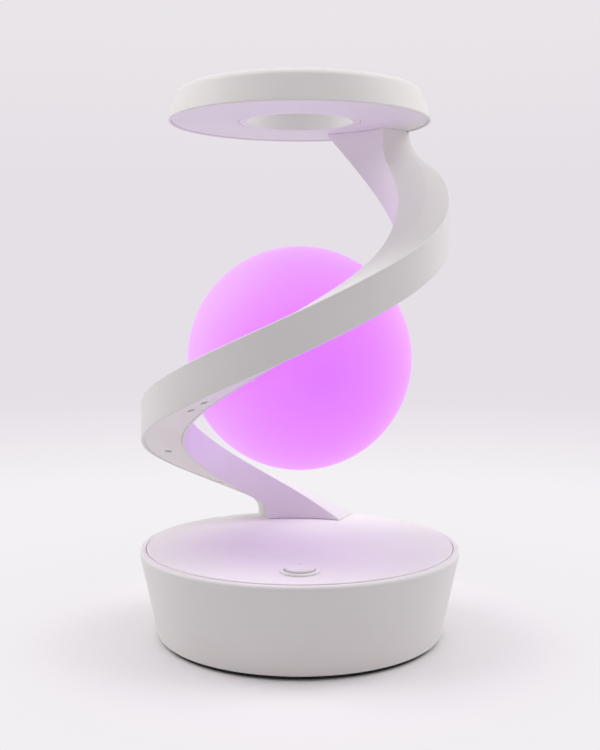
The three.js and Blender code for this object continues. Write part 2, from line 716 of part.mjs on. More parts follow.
// Top plate with its posts
const plateRadius = plateSeatRadius - seatGap;
const plateProfile = [
  [0, plateBottom],
  [plateRadius, plateBottom],
  [plateRadius, rimHeight - plateEdge],
  [plateRadius - plateEdge, rimHeight],
  [0, rimHeight],
];
const plateDisc = solidOf(turned(plateProfile, wideFacets));
const basePostPlaces = basePostTurns.map((turn) => polar(basePostCircle, turn, 0));
const basePostLow = bottomTop + seatGap;
const platePosts = basePostPlaces.map(({ x, y }) =>
  rodSolid(basePostRadius, basePostLow, plateBottom + plateThickness / 2, x, y));
const platePostBores = basePostPlaces.map(({ x, y }) =>
  boreSolid(baseScrewRadius, basePostLow - overrun, basePostLow + baseScrewLength, x, y));
const boardPostX = boardWidth / 2 - boardPostGap;
const boardPostPlaces = [-boardPostX, boardPostX].map((x) =>
  new THREE.Vector3(x, boardFrontY + boardPostReach, 0));
const boardPosts = boardPostPlaces.map(({ x, y }) =>
  rodSolid(smallPostRadius, boardTop + seatGap, plateBottom + plateThickness / 2, x, y));
const boardPostBores = boardPostPlaces.map(({ x, y }) =>
  boreSolid(smallScrewRadius, boardBottom - overrun, boardBottom + boardScrewLength + seatGap, x, y));
const bezelSleeve = buttonRadius + seatGap + bezelWall;
const [holeLow, holeHigh] = [plateBottom - overrun, rimHeight + overrun];
const buttonHole = rodSolid(bezelSleeve + seatGap, holeLow, holeHigh, 0, buttonY, midFacets);
const plateHole = polar(middleRadius(plateHoleTurn), plateHoleTurn, 0);
const plateHoleSolid = rodSolid(cableHoleRadius, holeLow, holeHigh, plateHole.x, plateHole.y);
const footHoles = footPlaces.map(({ x, y }) => boreSolid(smallScrewRadius, holeLow, holeHigh, x, y));
const topPlate = cut(join(plateDisc, ...platePosts, ...boardPosts), ...platePostBores, ...boardPostBores,
  ...footHoles, buttonHole, plateHoleSolid);
addPiece("base_top_plate", topPlate, whitePlate);

footPlaces.forEach(({ x, y }, i) => {
  const shape = screw(smallScrewRadius, footScrewLength, smallScrewHeadRadius, smallScrewHeadHeight);
  addPiece(`foot_screw_${i + 1}`, shape, plainSteel).position.set(x, y, plateBottom - seatGap);
});

// Bottom cover, the posts for the inlet's board, and the screws that close the base
const inletBoardTop = inletCentreHeight - inletHeight / 2 - seatGap;
const inletBoardBottom = inletBoardTop - boardThickness;
const inletBoardBack = inletFace - bowlWall - armWall;
const inletBoardFront = inletBoardBack - inletBoardDepth;
const inletScrewX = inletBoardWidth / 2 - inletScrewGap;
const inletPosts = [-inletScrewX, inletScrewX].map((x) =>
  new THREE.Vector3(x, inletBoardFront + inletScrewReach, 0));
const bottomDisc = solidOf(turned([[0, bowlBottom], [bottomSeatRadius - seatGap, bowlBottom],
  [bottomSeatRadius - seatGap, bottomTop], [0, bottomTop]], wideFacets));
const headPocket = bowlBottom + baseScrewHeadHeight + seatGap;
const bottomPockets = basePostPlaces.map(({ x, y }) =>
  rodSolid(baseScrewHeadRadius + seatGap, bowlBottom - overrun, headPocket, x, y));
const bottomHoles = basePostPlaces.map(({ x, y }) =>
  boreSolid(baseScrewRadius, bowlBottom - overrun, bottomTop + overrun, x, y));
const inletPostSolids = inletPosts.map(({ x, y }) =>
  rodSolid(smallPostRadius, bottomTop - bottomThickness / 2, inletBoardBottom - seatGap, x, y));
const inletPostBores = inletPosts.map(({ x, y }) =>
  boreSolid(smallScrewRadius, inletBoardTop - inletScrewLength - seatGap, inletBoardTop, x, y));
addPiece("base_bottom_cover", cut(join(bottomDisc, ...inletPostSolids), ...bottomPockets, ...bottomHoles,
  ...inletPostBores), whiteShell);

basePostPlaces.forEach(({ x, y }, i) => {
  const shape = screw(baseScrewRadius, baseScrewLength, baseScrewHeadRadius, baseScrewHeadHeight);
  addPiece(`base_screw_${i + 1}`, shape, plainSteel).position.set(x, y, headPocket - seatGap);
});

const rubberOuter = bowlFootRadius - rubberInset;
addPiece("rubber_foot_ring", ringPlate(rubberOuter - rubberWidth, rubberOuter, 0, rubberHeight), blackRubber);

const weightLow = bottomTop + seatGap;
addPiece("counterweight", ringPlate(weightHoleRadius, weightRadius, weightLow, weightHeight), plainSteel);

// Main board and what it carries
const boardY = boardFrontY + boardDepth / 2;
addPiece("main_board", cut(blockSolid(boardWidth, boardDepth, boardThickness, 0, boardY, boardBottom),
  ...boardPostBores), boardGreen);
boardPostPlaces.forEach(({ x, y }, i) => {
  const shape = screw(smallScrewRadius, boardScrewLength, smallScrewHeadRadius, smallScrewHeadHeight);
  addPiece(`board_screw_${i + 1}`, shape, plainSteel).position.set(x, y, boardBottom - seatGap);
});
const boardSeat = boardTop + seatGap;
const chip = block(chipSize, chipSize, chipHeight, -chipSide, boardFrontY + chipReach, boardSeat);
addPiece("controller_chip", chip, blackPlastic);
const connector = block(connectorWidth, connectorDepth, connectorHeight, 0, connectorY, boardSeat);
addPiece("cable_connector", connector, whiteTrim);
const plungerLow = switchTop - plungerHeight + buttonTravel;
const switchBlock = blockSolid(switchSize, switchSize, switchHeight, 0, buttonY, boardSeat);
const switchPocketLow = plungerLow - buttonTravel - seatGap;
const switchPocket = rodSolid(boreRadius(plungerRadius), switchPocketLow, switchTop + overrun, 0, buttonY);
addPiece("switch_body", cut(switchBlock, switchPocket), blackPlastic);
addPiece("switch_plunger", rod(plungerRadius, plungerLow, plungerTop, 0, buttonY), whiteTrim);

// Button and bezel
const buttonTop = rimHeight + buttonProud;
const sleeveLow = plateBottom - bezelSleeveDrop;
const flangeHigh = sleeveLow - seatGap;
const capLow = buttonTop - buttonCapDepth;
const stemLow = plungerTop + seatGap;
const capProfile = [
  [0, stemLow],
  [buttonStemRadius, stemLow],
  [buttonStemRadius, flangeHigh - buttonFlangeHeight],
  [buttonFlangeRadius, flangeHigh - buttonFlangeHeight],
  [buttonFlangeRadius, flangeHigh],
  [buttonRadius - bezelWall, flangeHigh],
  [buttonRadius - bezelWall, capLow],
  [buttonRadius, capLow],
  [buttonRadius, buttonTop - buttonEdge],
  [buttonRadius - buttonEdge, buttonTop],
  [buttonRadius / 2, buttonTop - (buttonDish * 3) / 4],
  [0, buttonTop - buttonDish],
];
const markCentre = buttonRadius - buttonEdge - markLength / 2;
const markLow = buttonTop - buttonDish / 2 - markDepth;
const markSolid = blockSolid(markWidth, markLength, buttonDish + markDepth, 0, markCentre, markLow);
addPiece("power_button", cut(solidOf(turned(capProfile, midFacets)), markSolid), whiteTrim)
  .position.set(0, buttonY, 0);
const bezelSeat = rimHeight + seatGap;
const bezelTop = rimHeight + bezelProud;
addPiece("button_bezel", turnedRing([[buttonRadius + seatGap, sleeveLow], [bezelSleeve, sleeveLow],
  [bezelSleeve, bezelSeat], [bezelRadius, bezelSeat], [bezelRadius, bezelTop - bezelEdge],
  [bezelRadius - bezelEdge, bezelTop], [buttonRadius + seatGap, bezelTop]], midFacets), whiteTrim)
  .position.set(0, buttonY, 0);

// Power inlet: a flattened tube with a tongue, on its own small board
const inletBore = inletHeight / 2 - inletWall;
const flatTube = (half, from, to) => join(
  ...[-1, 1].map((side) => solidOf(rod(half, from, to).rotateX(-Math.PI / 2)
    .translate((side * (inletWidth - inletHeight)) / 2, 0, inletCentreHeight))),
  blockSolid(inletWidth - inletHeight, to - from, 2 * half, 0, (from + to) / 2, inletCentreHeight - half));
const inletBack = inletFace - inletDepth;
addPiece("inlet_shell", cut(flatTube(inletHeight / 2, inletBack, inletFace),
  flatTube(inletBore, inletBack + inletWall * 2, inletFace + overrun)), plainSteel);
const tongueBack = inletBack + inletWall * 2 + seatGap;
const tongueFront = inletFace - tongueSetBack;
addPiece("inlet_tongue", block(tongueWidth, tongueFront - tongueBack, tongueThickness, 0,
  (tongueBack + tongueFront) / 2, inletCentreHeight - tongueThickness / 2), blackPlastic);
const inletBoardHoles = inletPosts.map(({ x, y }) =>
  boreSolid(smallScrewRadius, inletBoardBottom - overrun, inletBoardTop + overrun, x, y));
addPiece("inlet_board", cut(blockSolid(inletBoardWidth, inletBoardDepth, boardThickness, 0,
  inletBoardFront + inletBoardDepth / 2, inletBoardBottom), ...inletBoardHoles), boardGreen);
inletPosts.forEach(({ x, y }, i) => {
  const shape = screw(smallScrewRadius, inletScrewLength, smallScrewHeadRadius, smallScrewHeadHeight);
  const mesh = addPiece(`inlet_screw_${i + 1}`, shape, plainSteel);
  mesh.position.set(x, y, inletBoardTop + seatGap);
  mesh.rotation.x = Math.PI;
});

// Head: shell, hole ring, diffuser, light board and clamp
const wallLean = THREE.MathUtils.radToDeg(Math.atan2(headRadius - headTopRadius, headHeight));
const roundCentre = headTopRadius - headRound * Math.tan(THREE.MathUtils.degToRad((90 - wallLean) / 2));
const headLipInner = headRadius - headLipWidth;
const diffuserSeat = diffuserTop + seatGap;
function headOuterAt(height) {
  return THREE.MathUtils.mapLinear(height, undersideHeight, headTop, headRadius, headTopRadius);
}
const holeRingOuter = holeRadius + holeRingWall;
addPiece("head_shell", turnedRing([
  [headLipInner, undersideHeight],
  ...arc(headRadius - headLipRound, undersideHeight + headLipRound, headLipRound, -90, 0, edgeSteps),
  ...arc(roundCentre, headTop - headRound, headRound, wallLean, 90, headRoundSteps),
  [holeRingOuter + seatGap, headTop],
  [holeRingOuter + seatGap, headCeiling],
  [headOuterAt(headCeiling) - headWall - headWall / 2, headCeiling],
  [headOuterAt(diffuserSeat) - headWall, diffuserSeat],
  [headLipInner, diffuserSeat],
], wideFacets), whiteShell);

const ringFlangeRadius = holeRadius + holeRingFlange;
addPiece("head_inner_ring", turnedRing([[holeRadius, diffuserBottom], [ringFlangeRadius, diffuserBottom],
  [ringFlangeRadius, diffuserBottom + holeRingFlangeThickness],
  [holeRingOuter, diffuserBottom + holeRingFlangeThickness], [holeRingOuter, headTop], [holeRadius, headTop]],
wideFacets), whiteTrim);

const diffuserRing = solidOf(turnedRing([[ringFlangeRadius + seatGap, diffuserBottom],
  [headLipInner - diffuserGap, diffuserBottom], [headLipInner - diffuserGap, diffuserTop],
  [ringFlangeRadius + seatGap, diffuserTop]], wideFacets));
addPiece("head_diffuser", cut(diffuserRing, ...clampBores, headHoleSolid), milkyDiffuser);

addPiece("head_led_board", ringPlate(headBoardInnerRadius, headBoardOuterRadius, headBoardBottom,
  ledBoardThickness), boardGreen);
for (let i = 0; i < headLedCount; i++) {
  const { x, y } = polar(headLedCircle, (i * 360) / headLedCount, 0);
  const low = headBoardBottom - seatGap - ledHeight;
  addPiece(`head_led_${i + 1}`, block(ledSize, ledSize, ledHeight, x, y, low), ledPackage);
}

const clampRing = (turn) =>
  plainRing(turn, innerRadius(turn) + armWall, headLipInner - clampRimGap, clampBottom, clampTop);
addPiece("head_clamp_plate", cut(solidOf(loft(turnsBetween(clampStart, clampEnd, ringStep).map(clampRing))),
  ...clampBores, headHoleSolid), plainSteel);
clampPlaces.forEach(({ x, y }, i) => {
  const shape = screw(smallScrewRadius, clampScrewLength, smallScrewHeadRadius, smallScrewHeadHeight);
  const mesh = addPiece(`clamp_screw_${i + 1}`, shape, plainSteel);
  mesh.position.set(x, y, clampTop + seatGap);
  mesh.rotation.x = Math.PI;
});

// Cables, each a round tube along its route
function cable(points, radius, steps) {
  const section = new THREE.Shape().absarc(0, 0, radius, 0, 2 * Math.PI);
  const extrudePath = new THREE.CatmullRomCurve3(points, false, "centripetal");
  return new THREE.ExtrudeGeometry(section, { steps, curveSegments: cableSides / 2, extrudePath });
}
const hollowMiddle = (turn) => middleHeight(turn) + (coverInset + coverThickness - armWall) / 2;
const cableTurns = (end) => turnsBetween(footTurn - wallTurn, end, 2 * ringStep);
const connectorExit = boardTop + seatGap + connectorHeight / 2;
const connectorBackY = connectorY + connectorDepth / 2 + seatGap;
const plateHoleRadius = middleRadius(plateHoleTurn);
const toPlateHole = (side, level) => [
  new THREE.Vector3(side, connectorBackY, connectorExit),
  new THREE.Vector3(side, connectorBackY + cableRun, connectorExit),
  polar(plateHoleRadius / 2, plateHoleTurn, level),
  polar(plateHoleRadius + side - cableBend, plateHoleTurn, level),
  polar(plateHoleRadius + side, plateHoleTurn, level + cableBend),
  polar(plateHoleRadius + side, plateHoleTurn, rimHeight),
];
const outerRoute = (turn) => outerRadius(turn) - armWall - cableWallGap - headCableRadius;
const innerRoute = (turn) => innerRadius(turn) + armWall + cableWallGap + globeCableRadius;
const atHeadHole = (height) => new THREE.Vector3(headHole.x, headHole.y, height);
addPiece("head_cable", cable([
  ...toPlateHole(cableSideShift, plateBottom - headCableDrop),
  polar(outerRoute(plateHoleTurn), plateHoleTurn + ringStep, hollowMiddle(plateHoleTurn + ringStep)),
  ...cableTurns(headOuterTurn).map((turn) => polar(outerRoute(turn), turn, hollowMiddle(turn))),
  polar(outerRoute(headHoleTurn), headHoleTurn - ringStep, stubTop - armWall - 2 * cableBend),
  atHeadHole(stubTop - armWall - cableBend / 2),
  atHeadHole(clampTop),
  atHeadHole(headBoardBottom - seatGap),
], headCableRadius, headCableSteps), cableJacket);

const neckPoint = (distance) => polar(distance, globeTurn, globeHeight);
addPiece("globe_cable", cable([
  ...toPlateHole(-cableSideShift, plateBottom - globeCableDrop),
  polar(innerRoute(plateHoleTurn), plateHoleTurn + ringStep, hollowMiddle(plateHoleTurn + ringStep)),
  ...cableTurns(bracketScrewTurns[1]).map((turn) => polar(innerRoute(turn), turn, hollowMiddle(turn))),
  polar(studMouth + 1.3 * cableBend, globeTurn - arcTurn(1.6 * cableBend, globeTurn), globeHeight),
  polar(studMouth + 1.1 * cableBend, globeTurn - arcTurn(0.3 * cableBend, globeTurn), globeHeight),
  neckPoint(studMouth + 0.5 * cableBend),
  neckPoint(studMouth),
  neckPoint((studMouth + globeBoardTop) / 2),
  neckPoint(globeBoardTop + seatGap),
], globeCableRadius, globeCableSteps), cableJacket);

const boardEdgeX = boardWidth / 2 - connectorDepth;
const inletWireLow = inletBoardTop + inletCableRadius + seatGap;
addPiece("inlet_cable", cable([
  new THREE.Vector3(boardEdgeX, boardBackY - connectorDepth, boardTop + inletCableRadius + seatGap),
  new THREE.Vector3(boardEdgeX, boardBackY + connectorDepth, boardTop + inletCableRadius + seatGap),
  new THREE.Vector3(boardEdgeX / 2, inletBoardFront / 2, (boardTop + inletWireLow) / 2),
  new THREE.Vector3(0, inletBoardFront - connectorDepth, inletWireLow),
  new THREE.Vector3(0, inletBoardFront + connectorDepth / 2, inletWireLow),
], inletCableRadius, inletCableSteps), cableJacket);

export default lamp;
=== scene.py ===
"""Looks of the spiral table lamp: round base with push button, rising ribbon arm, lit globe and ring head.

Lengths are in millimetres and turns in degrees, counted anticlockwise from +X seen from above. MM turns a
length to Blender's metres where a mesh is made.
"""
import json
import logging
import math
from dataclasses import dataclass, fields
from enum import Enum
from typing import Any, Callable, Sequence

import bmesh
import bpy
from mathutils import Matrix, Vector


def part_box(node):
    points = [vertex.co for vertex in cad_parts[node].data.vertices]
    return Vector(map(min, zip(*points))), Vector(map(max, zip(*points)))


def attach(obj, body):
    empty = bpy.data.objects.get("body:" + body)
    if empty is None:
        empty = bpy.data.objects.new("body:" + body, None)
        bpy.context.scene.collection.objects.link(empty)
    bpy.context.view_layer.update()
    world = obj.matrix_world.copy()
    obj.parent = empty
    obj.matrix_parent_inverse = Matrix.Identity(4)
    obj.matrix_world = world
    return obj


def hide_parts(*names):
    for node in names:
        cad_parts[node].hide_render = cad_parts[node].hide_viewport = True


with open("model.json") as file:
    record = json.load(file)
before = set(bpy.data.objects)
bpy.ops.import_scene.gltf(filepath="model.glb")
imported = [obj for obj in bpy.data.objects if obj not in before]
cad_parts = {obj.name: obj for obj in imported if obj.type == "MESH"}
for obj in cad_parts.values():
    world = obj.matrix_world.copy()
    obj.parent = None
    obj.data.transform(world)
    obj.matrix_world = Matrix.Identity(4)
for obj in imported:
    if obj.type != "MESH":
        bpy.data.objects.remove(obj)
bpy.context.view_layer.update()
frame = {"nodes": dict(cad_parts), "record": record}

LOG = logging.getLogger("spiral_lamp")
Pair = tuple[float, float]
Point = Pair
Piece = bpy.types.Object
Node = bpy.types.Node
Tree = bpy.types.NodeTree
Socket = bpy.types.NodeSocket
MM = 0.001
# The clearance between seated pieces, and how far a cutting shape reaches past what it cuts.
SEAT_GAP = 0.3
OVERRUN = 1.0
# Vertices closer than this are merged: after extruding or turning, and after a boolean.
MERGE_DISTANCE = 0.001
SLIVER = 0.02
# The angle above which an edge stays sharp: on large forms, and on small hardware.
SOFT = 50.0
CRISP = 35.0
# Turns closer than the first count as one. The second is a short step along the ribbon.
SAME_TURN = 0.005
NEAR_TURN = 0.1


class Body(Enum):
    """The CAD bodies that pieces ride on."""

    LAMP = "lamp_body"
    BUTTON = "button"


# Small helpers


def lerp(start: float, end: float, share: float) -> float:
    """Returns the value that lies a share of the way from start to end."""
    return start + (end - start) * share


def smooth_share(value: float, low: float, high: float) -> float:
    """Returns 0 below low and 1 above high, with a smooth rise between them."""
    share = min(max((value - low) / (high - low), 0.0), 1.0)
    return share * share * (3 - 2 * share)


def polar(radius: float, turn: float, height: float = 0.0) -> Vector:
    """Returns the point at a radius, turn and height, in millimetres."""
    angle = math.radians(turn)
    return Vector((radius * math.cos(angle), radius * math.sin(angle), height))


def turns_between(start: float, end: float, step: float) -> list[float]:
    """Returns turns from start to end in equal steps no longer than the given one."""
    count = max(1, math.ceil((end - start) / step))
    return [lerp(start, end, i / count) for i in range(count + 1)]


def arc(radius: float, height: float, size: float, start: float, end: float, steps: int) -> list[Point]:
    """Returns a round about a centre in a turned profile, between angles: 0 is outwards and 90 is up."""
    angles = [math.radians(lerp(start, end, i / steps)) for i in range(steps + 1)]
    return [(radius + size * math.cos(a), height + size * math.sin(a)) for a in angles]


def block(inner: float, outer: float, low: float, high: float) -> list[Point]:
    """Returns the profile of a plain ring between two radii and two heights, a disc where inner is 0."""
    return [(inner, low), (outer, low), (outer, high), (inner, high)]


def eased(profile: Sequence[Point], size: float) -> list[Point]:
    """Takes the sharpness off the corners of a turned profile, but not off ends that lie on the axis.

    Args:
        profile: The profile's points, each a radius and a height.
        size: How far from each corner the easing starts, at most nearly half of the way to the next.

    Returns:
        The profile with three points at each corner that turns by more than a little.
    """
    nearly_half, nearly_straight = 0.45, math.radians(150)
    result: list[Point] = []
    for i, point in enumerate(profile):
        here = Vector(point)
        before = Vector(profile[i - 1]) - here
        after = Vector(profile[(i + 1) % len(profile)]) - here
        is_end = profile[0][0] == 0 and i in (0, len(profile) - 1)
        if is_end or before.angle(after) > nearly_straight:
            result.append(point)
            continue
        reach = min(size, nearly_half * before.length, nearly_half * after.length)
        first = here + before.normalized() * reach
        end = here + after.normalized() * reach
        middle = (first + end) * 0.25 + here * 0.5
        result += [tuple(first), tuple(middle), tuple(end)]
    return result


# Modelling helpers


def pick(piece: Piece) -> None:
    """Makes one object the only selected and active one."""
    bpy.ops.object.select_all(action="DESELECT")
    piece.select_set(True)
    bpy.context.view_layer.objects.active = piece


def apply_place(piece: Piece) -> None:
    """Moves an object's place, turn and scale into its mesh."""
    pick(piece)
    bpy.ops.object.transform_apply(location=True, rotation=True, scale=True)


def newest(name: str) -> Piece:
    """Names the primitive that was just added and puts its place in its mesh."""
    piece = bpy.context.object
    piece.name = name
    piece.data.name = name
    apply_place(piece)
    return piece


def place(piece: Piece, matrix: Matrix) -> None:
    """Puts a piece modelled round the origin where it belongs, and its place in its mesh."""
    piece.matrix_world = matrix
    apply_place(piece)


def copy_of(piece: Piece, name: str) -> Piece:
    """Returns a copy of a piece that has a mesh of its own."""
    twin = piece.copy()
    twin.data = piece.data.copy()
    twin.name = name
    twin.data.name = name
    bpy.context.scene.collection.objects.link(twin)
    return twin


def choose(piece: Piece, kind: str, test: Callable[[Vector, Vector], bool]) -> int:
    """Selects vertices or faces of a piece in edit mode by where they are.

    Args:
        piece: The object in edit mode.
        kind: "verts" or "faces".
        test: Takes an element's middle in millimetres and its normal, and says whether to select it.

    Returns:
        The number of elements selected.
    """
    bpy.ops.mesh.select_mode(type="VERT" if kind == "verts" else "FACE")
    bpy.ops.mesh.select_all(action="DESELECT")
    mesh = bmesh.from_edit_mesh(piece.data)
    count = 0
    for element in getattr(mesh, kind):
        middle = element.co if kind == "verts" else element.calc_center_median()
        if test(middle / MM, element.normal):
            element.select_set(True)
            count += 1
    bmesh.update_edit_mesh(piece.data)
    return count


def close_up(distance: float = MERGE_DISTANCE) -> None:
    """Merges vertices within a distance and turns all faces outwards, then leaves edit mode."""
    bpy.ops.mesh.select_all(action="SELECT")
    bpy.ops.mesh.remove_doubles(threshold=distance * MM)
    bpy.ops.mesh.normals_make_consistent(inside=False)
    bpy.ops.object.mode_set(mode="OBJECT")


def spun(
    name: str,
    profile: Sequence[Point],
    centre: Vector = Vector(),
    facets: int = 192,
) -> Piece:
    """Turns a profile round an upright axis, as on a lathe.

    Args:
        name: Name of the piece.
        profile: Points of a radius and a height each. One that starts on the axis ends on it too, and any
            other is closed to a ring.
        centre: A point on the axis.
        facets: Number of faces round the axis.

    Returns:
        The piece.
    """
    radius, height = profile[0]
    start = centre + Vector((radius, 0, height))
    bpy.ops.mesh.primitive_plane_add(size=MM, location=start * MM)
    piece = newest(name)
    bpy.ops.object.mode_set(mode="EDIT")
    bpy.ops.mesh.select_mode(type="VERT")
    bpy.ops.mesh.select_all(action="SELECT")
    bpy.ops.mesh.merge(type="CENTER")
    route = [*profile, profile[0]] if radius > 0 else profile
    for (r0, z0), (r1, z1) in zip(route, route[1:]):
        step = Vector((r1 - r0, 0, z1 - z0)) * MM
        bpy.ops.mesh.extrude_region_move(TRANSFORM_OT_translate={"value": step})
    bpy.ops.mesh.select_all(action="SELECT")
    bpy.ops.mesh.remove_doubles(threshold=MERGE_DISTANCE * MM)
    bpy.ops.mesh.spin(steps=facets, angle=math.tau, center=centre * MM, axis=(0, 0, 1))
    close_up()
    return piece


def swept(name: str, sections: Sequence[Sequence[Vector]]) -> Piece:
    """Extrudes a flat face through sections that have the same number of corners.

    Args:
        name: Name of the piece.
        sections: Rings of corners in millimetres, in the same order in each.

    Returns:
        The closed piece.
    """
    first = sections[0]
    bpy.ops.mesh.primitive_circle_add(
        vertices=len(first), radius=MM, fill_type="NGON", location=first[0] * MM)
    piece = newest(name)
    bpy.ops.object.mode_set(mode="EDIT")
    bpy.ops.mesh.select_mode(type="VERT")
    mesh = bmesh.from_edit_mesh(piece.data)
    corners = list(mesh.verts)
    for section in sections:
        if section is not first:
            places = [corner.co.copy() for corner in corners]
            bpy.ops.mesh.extrude_region_move()
            mesh = bmesh.from_edit_mesh(piece.data)
            ends = [v for v in mesh.verts if v.select]
            corners = [min(ends, key=lambda v, at=at: (v.co - at).length_squared) for at in places]
        end_face = next(f for f in corners[0].link_faces if all(v in f.verts for v in corners))
        for corner, target in zip(corners, section):
            bpy.ops.mesh.select_all(action="DESELECT")
            corner.select_set(True)
            bpy.ops.transform.translate(value=target * MM - corner.co)
        end_face.select_set(True)
        mesh.select_flush_mode()
    close_up()
    return piece


def use_modifier(piece: Piece, kind: str, **settings: Any) -> None:
    """Adds a modifier with its settings and applies it."""
    pick(piece)
    modifier = piece.modifiers.new(kind.lower(), kind)
    for name, value in settings.items():
        setattr(modifier, name, value)
    bpy.ops.object.modifier_apply(modifier=modifier.name)


def combine(piece: Piece, tools: Sequence[Piece], operation: str) -> None:
    """Joins tool shapes to a piece or cuts them from it, deletes them, and merges the slivers left behind.

    Args:
        piece: The piece that is changed.
        tools: The shapes that act on it. They don't touch each other.
        operation: "UNION" or "DIFFERENCE".
    """
    for tool in tools:
        use_modifier(piece, "BOOLEAN", object=tool, operation=operation, solver="MANIFOLD")
        bpy.data.objects.remove(tool)
    pick(piece)
    bpy.ops.object.mode_set(mode="EDIT")
    close_up(SLIVER)


def box_piece(name: str, low: Vector, high: Vector) -> Piece:
    """Makes a box between two corners."""
    bpy.ops.mesh.primitive_cube_add(size=1, location=(low + high) / 2 * MM, scale=(high - low) * MM)
    return newest(name)


def slot_shape(name: str, width: float, height: float, ends: Pair, level: float) -> Piece:
    """Makes a bar along Y with a flattened round section, by pulling a cylinder's halves apart.

    Args:
        name: Name of the piece.
        width: Width of the section.
        height: Height of the section.
        ends: Y of the bar's two ends, the lower first.
        level: Height of the section's middle.

    Returns:
        The piece.
    """
    start, end = ends
    bpy.ops.mesh.primitive_cylinder_add(
        vertices=48, radius=height / 2 * MM, depth=(end - start) * MM,
        location=(0, (end + start) / 2 * MM, level * MM), rotation=(math.pi / 2, 0, 0))
    piece = newest(name)
    bpy.ops.object.mode_set(mode="EDIT")
    off_middle = height / 100
    for side in (-1, 1):
        choose(piece, "verts", lambda at, _, side=side: side * at.x > off_middle)
        bpy.ops.transform.translate(value=(side * (width - height) / 2 * MM, 0, 0))
    bpy.ops.object.mode_set(mode="OBJECT")
    return piece


# Materials


def blank_tree(owner: bpy.types.Material | bpy.types.World) -> Tree:
    """Turns on an owner's nodes and returns its tree, emptied."""
    owner.use_nodes = True
    owner.node_tree.nodes.clear()
    return owner.node_tree


def linear_colour(code: str) -> tuple[float, float, float, float]:
    """Turns an sRGB hex colour such as "#EDEAE8" to the linear values that shaders take."""
    parts = [int(code[i:i + 2], 16) / 255 for i in (1, 3, 5)]
    values = [c / 12.92 if c <= 0.04045 else ((c + 0.055) / 1.055) ** 2.4 for c in parts]
    return (*values, 1.0)


def add_node(
    tree: Tree,
    kind: str,
    settings: dict[str | int, Any] | None = None,
    links: dict[str | int, Socket] | None = None,
) -> Node:
    """Adds a shader node, sets it up and links its inputs.

    Args:
        tree: The node tree.
        kind: The node's type.
        settings: Properties and unlinked inputs by name, or inputs by number. "stops" fills a ramp.
        links: The output socket that feeds each input.

    Returns:
        The node.
    """
    node = tree.nodes.new(kind)
    for name, value in (settings or {}).items():
        if name == "stops":
            ramp = node.color_ramp
            for i, (position, code) in enumerate(value):
                stop = ramp.elements[i] if i < len(ramp.elements) else ramp.elements.new(position)
                stop.position = position
                stop.color = linear_colour(code)
        elif isinstance(name, int) or name in node.inputs:
            node.inputs[name].default_value = value
        else:
            setattr(node, name, value)
    for name, socket in (links or {}).items():
        tree.links.new(socket, node.inputs[name])
    return node


class Coat:
    """A material in the making: its node tree, its main shader and the place of each point on the piece."""

    def __init__(self, name: str, settings: dict[str | int, Any]) -> None:
        """Makes the material.

        Args:
            name: The material's name.
            settings: Unlinked inputs of the main shader.
        """
        self.material = bpy.data.materials.new(name)
        self.tree = blank_tree(self.material)
        self.place = add_node(self.tree, "ShaderNodeTexCoord").outputs["Object"]
        self.shader = add_node(self.tree, "ShaderNodeBsdfPrincipled", settings)
        add_node(self.tree, "ShaderNodeOutputMaterial", links={"Surface": self.shader.outputs["BSDF"]})

    def clouds(self, size_mm: float, detail: float) -> Socket:
        """Adds soft clouds of a size and returns their value."""
        noise = add_node(self.tree, "ShaderNodeTexNoise", {"Scale": 1 / (size_mm * MM), "Detail": detail},
                         {"Vector": self.place})
        return noise.outputs["Fac"]

    def feed(self, name: str, socket: Socket) -> None:
        """Links an input of the main shader."""
        self.tree.links.new(socket, self.shader.inputs[name])


@dataclass(frozen=True)
class Finish:
    """What all finishes share: a colour that drifts a little, and a fine relief from how it was made."""

    name: str
    colour: str
    second_colour: str
    roughness: float
    drift_mm: float = 30.0
    grain_mm: float = 0.8
    grain_depth: float = 0.01
    metallic: float = 0.0
    specular: float = 0.5

    def start(self) -> Coat:
        """Makes the material with its main shader and the fine relief of its surface."""
        coat = Coat(self.name, {
            "Roughness": self.roughness, "Metallic": self.metallic, "Specular IOR Level": self.specular})
        relief = add_node(coat.tree, "ShaderNodeBump", {"Strength": 1.0, "Distance": self.grain_depth * MM},
                          {"Height": coat.clouds(self.grain_mm, detail=3.0)})
        coat.feed("Normal", relief.outputs["Normal"])
        return coat

    def material(self) -> bpy.types.Material:
        """Builds the finish, whose colour drifts between its two values in soft clouds."""
        coat = self.start()
        stops = ((0.3, self.colour), (0.7, self.second_colour))
        tint = add_node(coat.tree, "ShaderNodeValToRGB", {"stops": stops},
                        {"Fac": coat.clouds(self.drift_mm, detail=2.0)})
        coat.feed("Base Color", tint.outputs["Color"])
        return coat.material


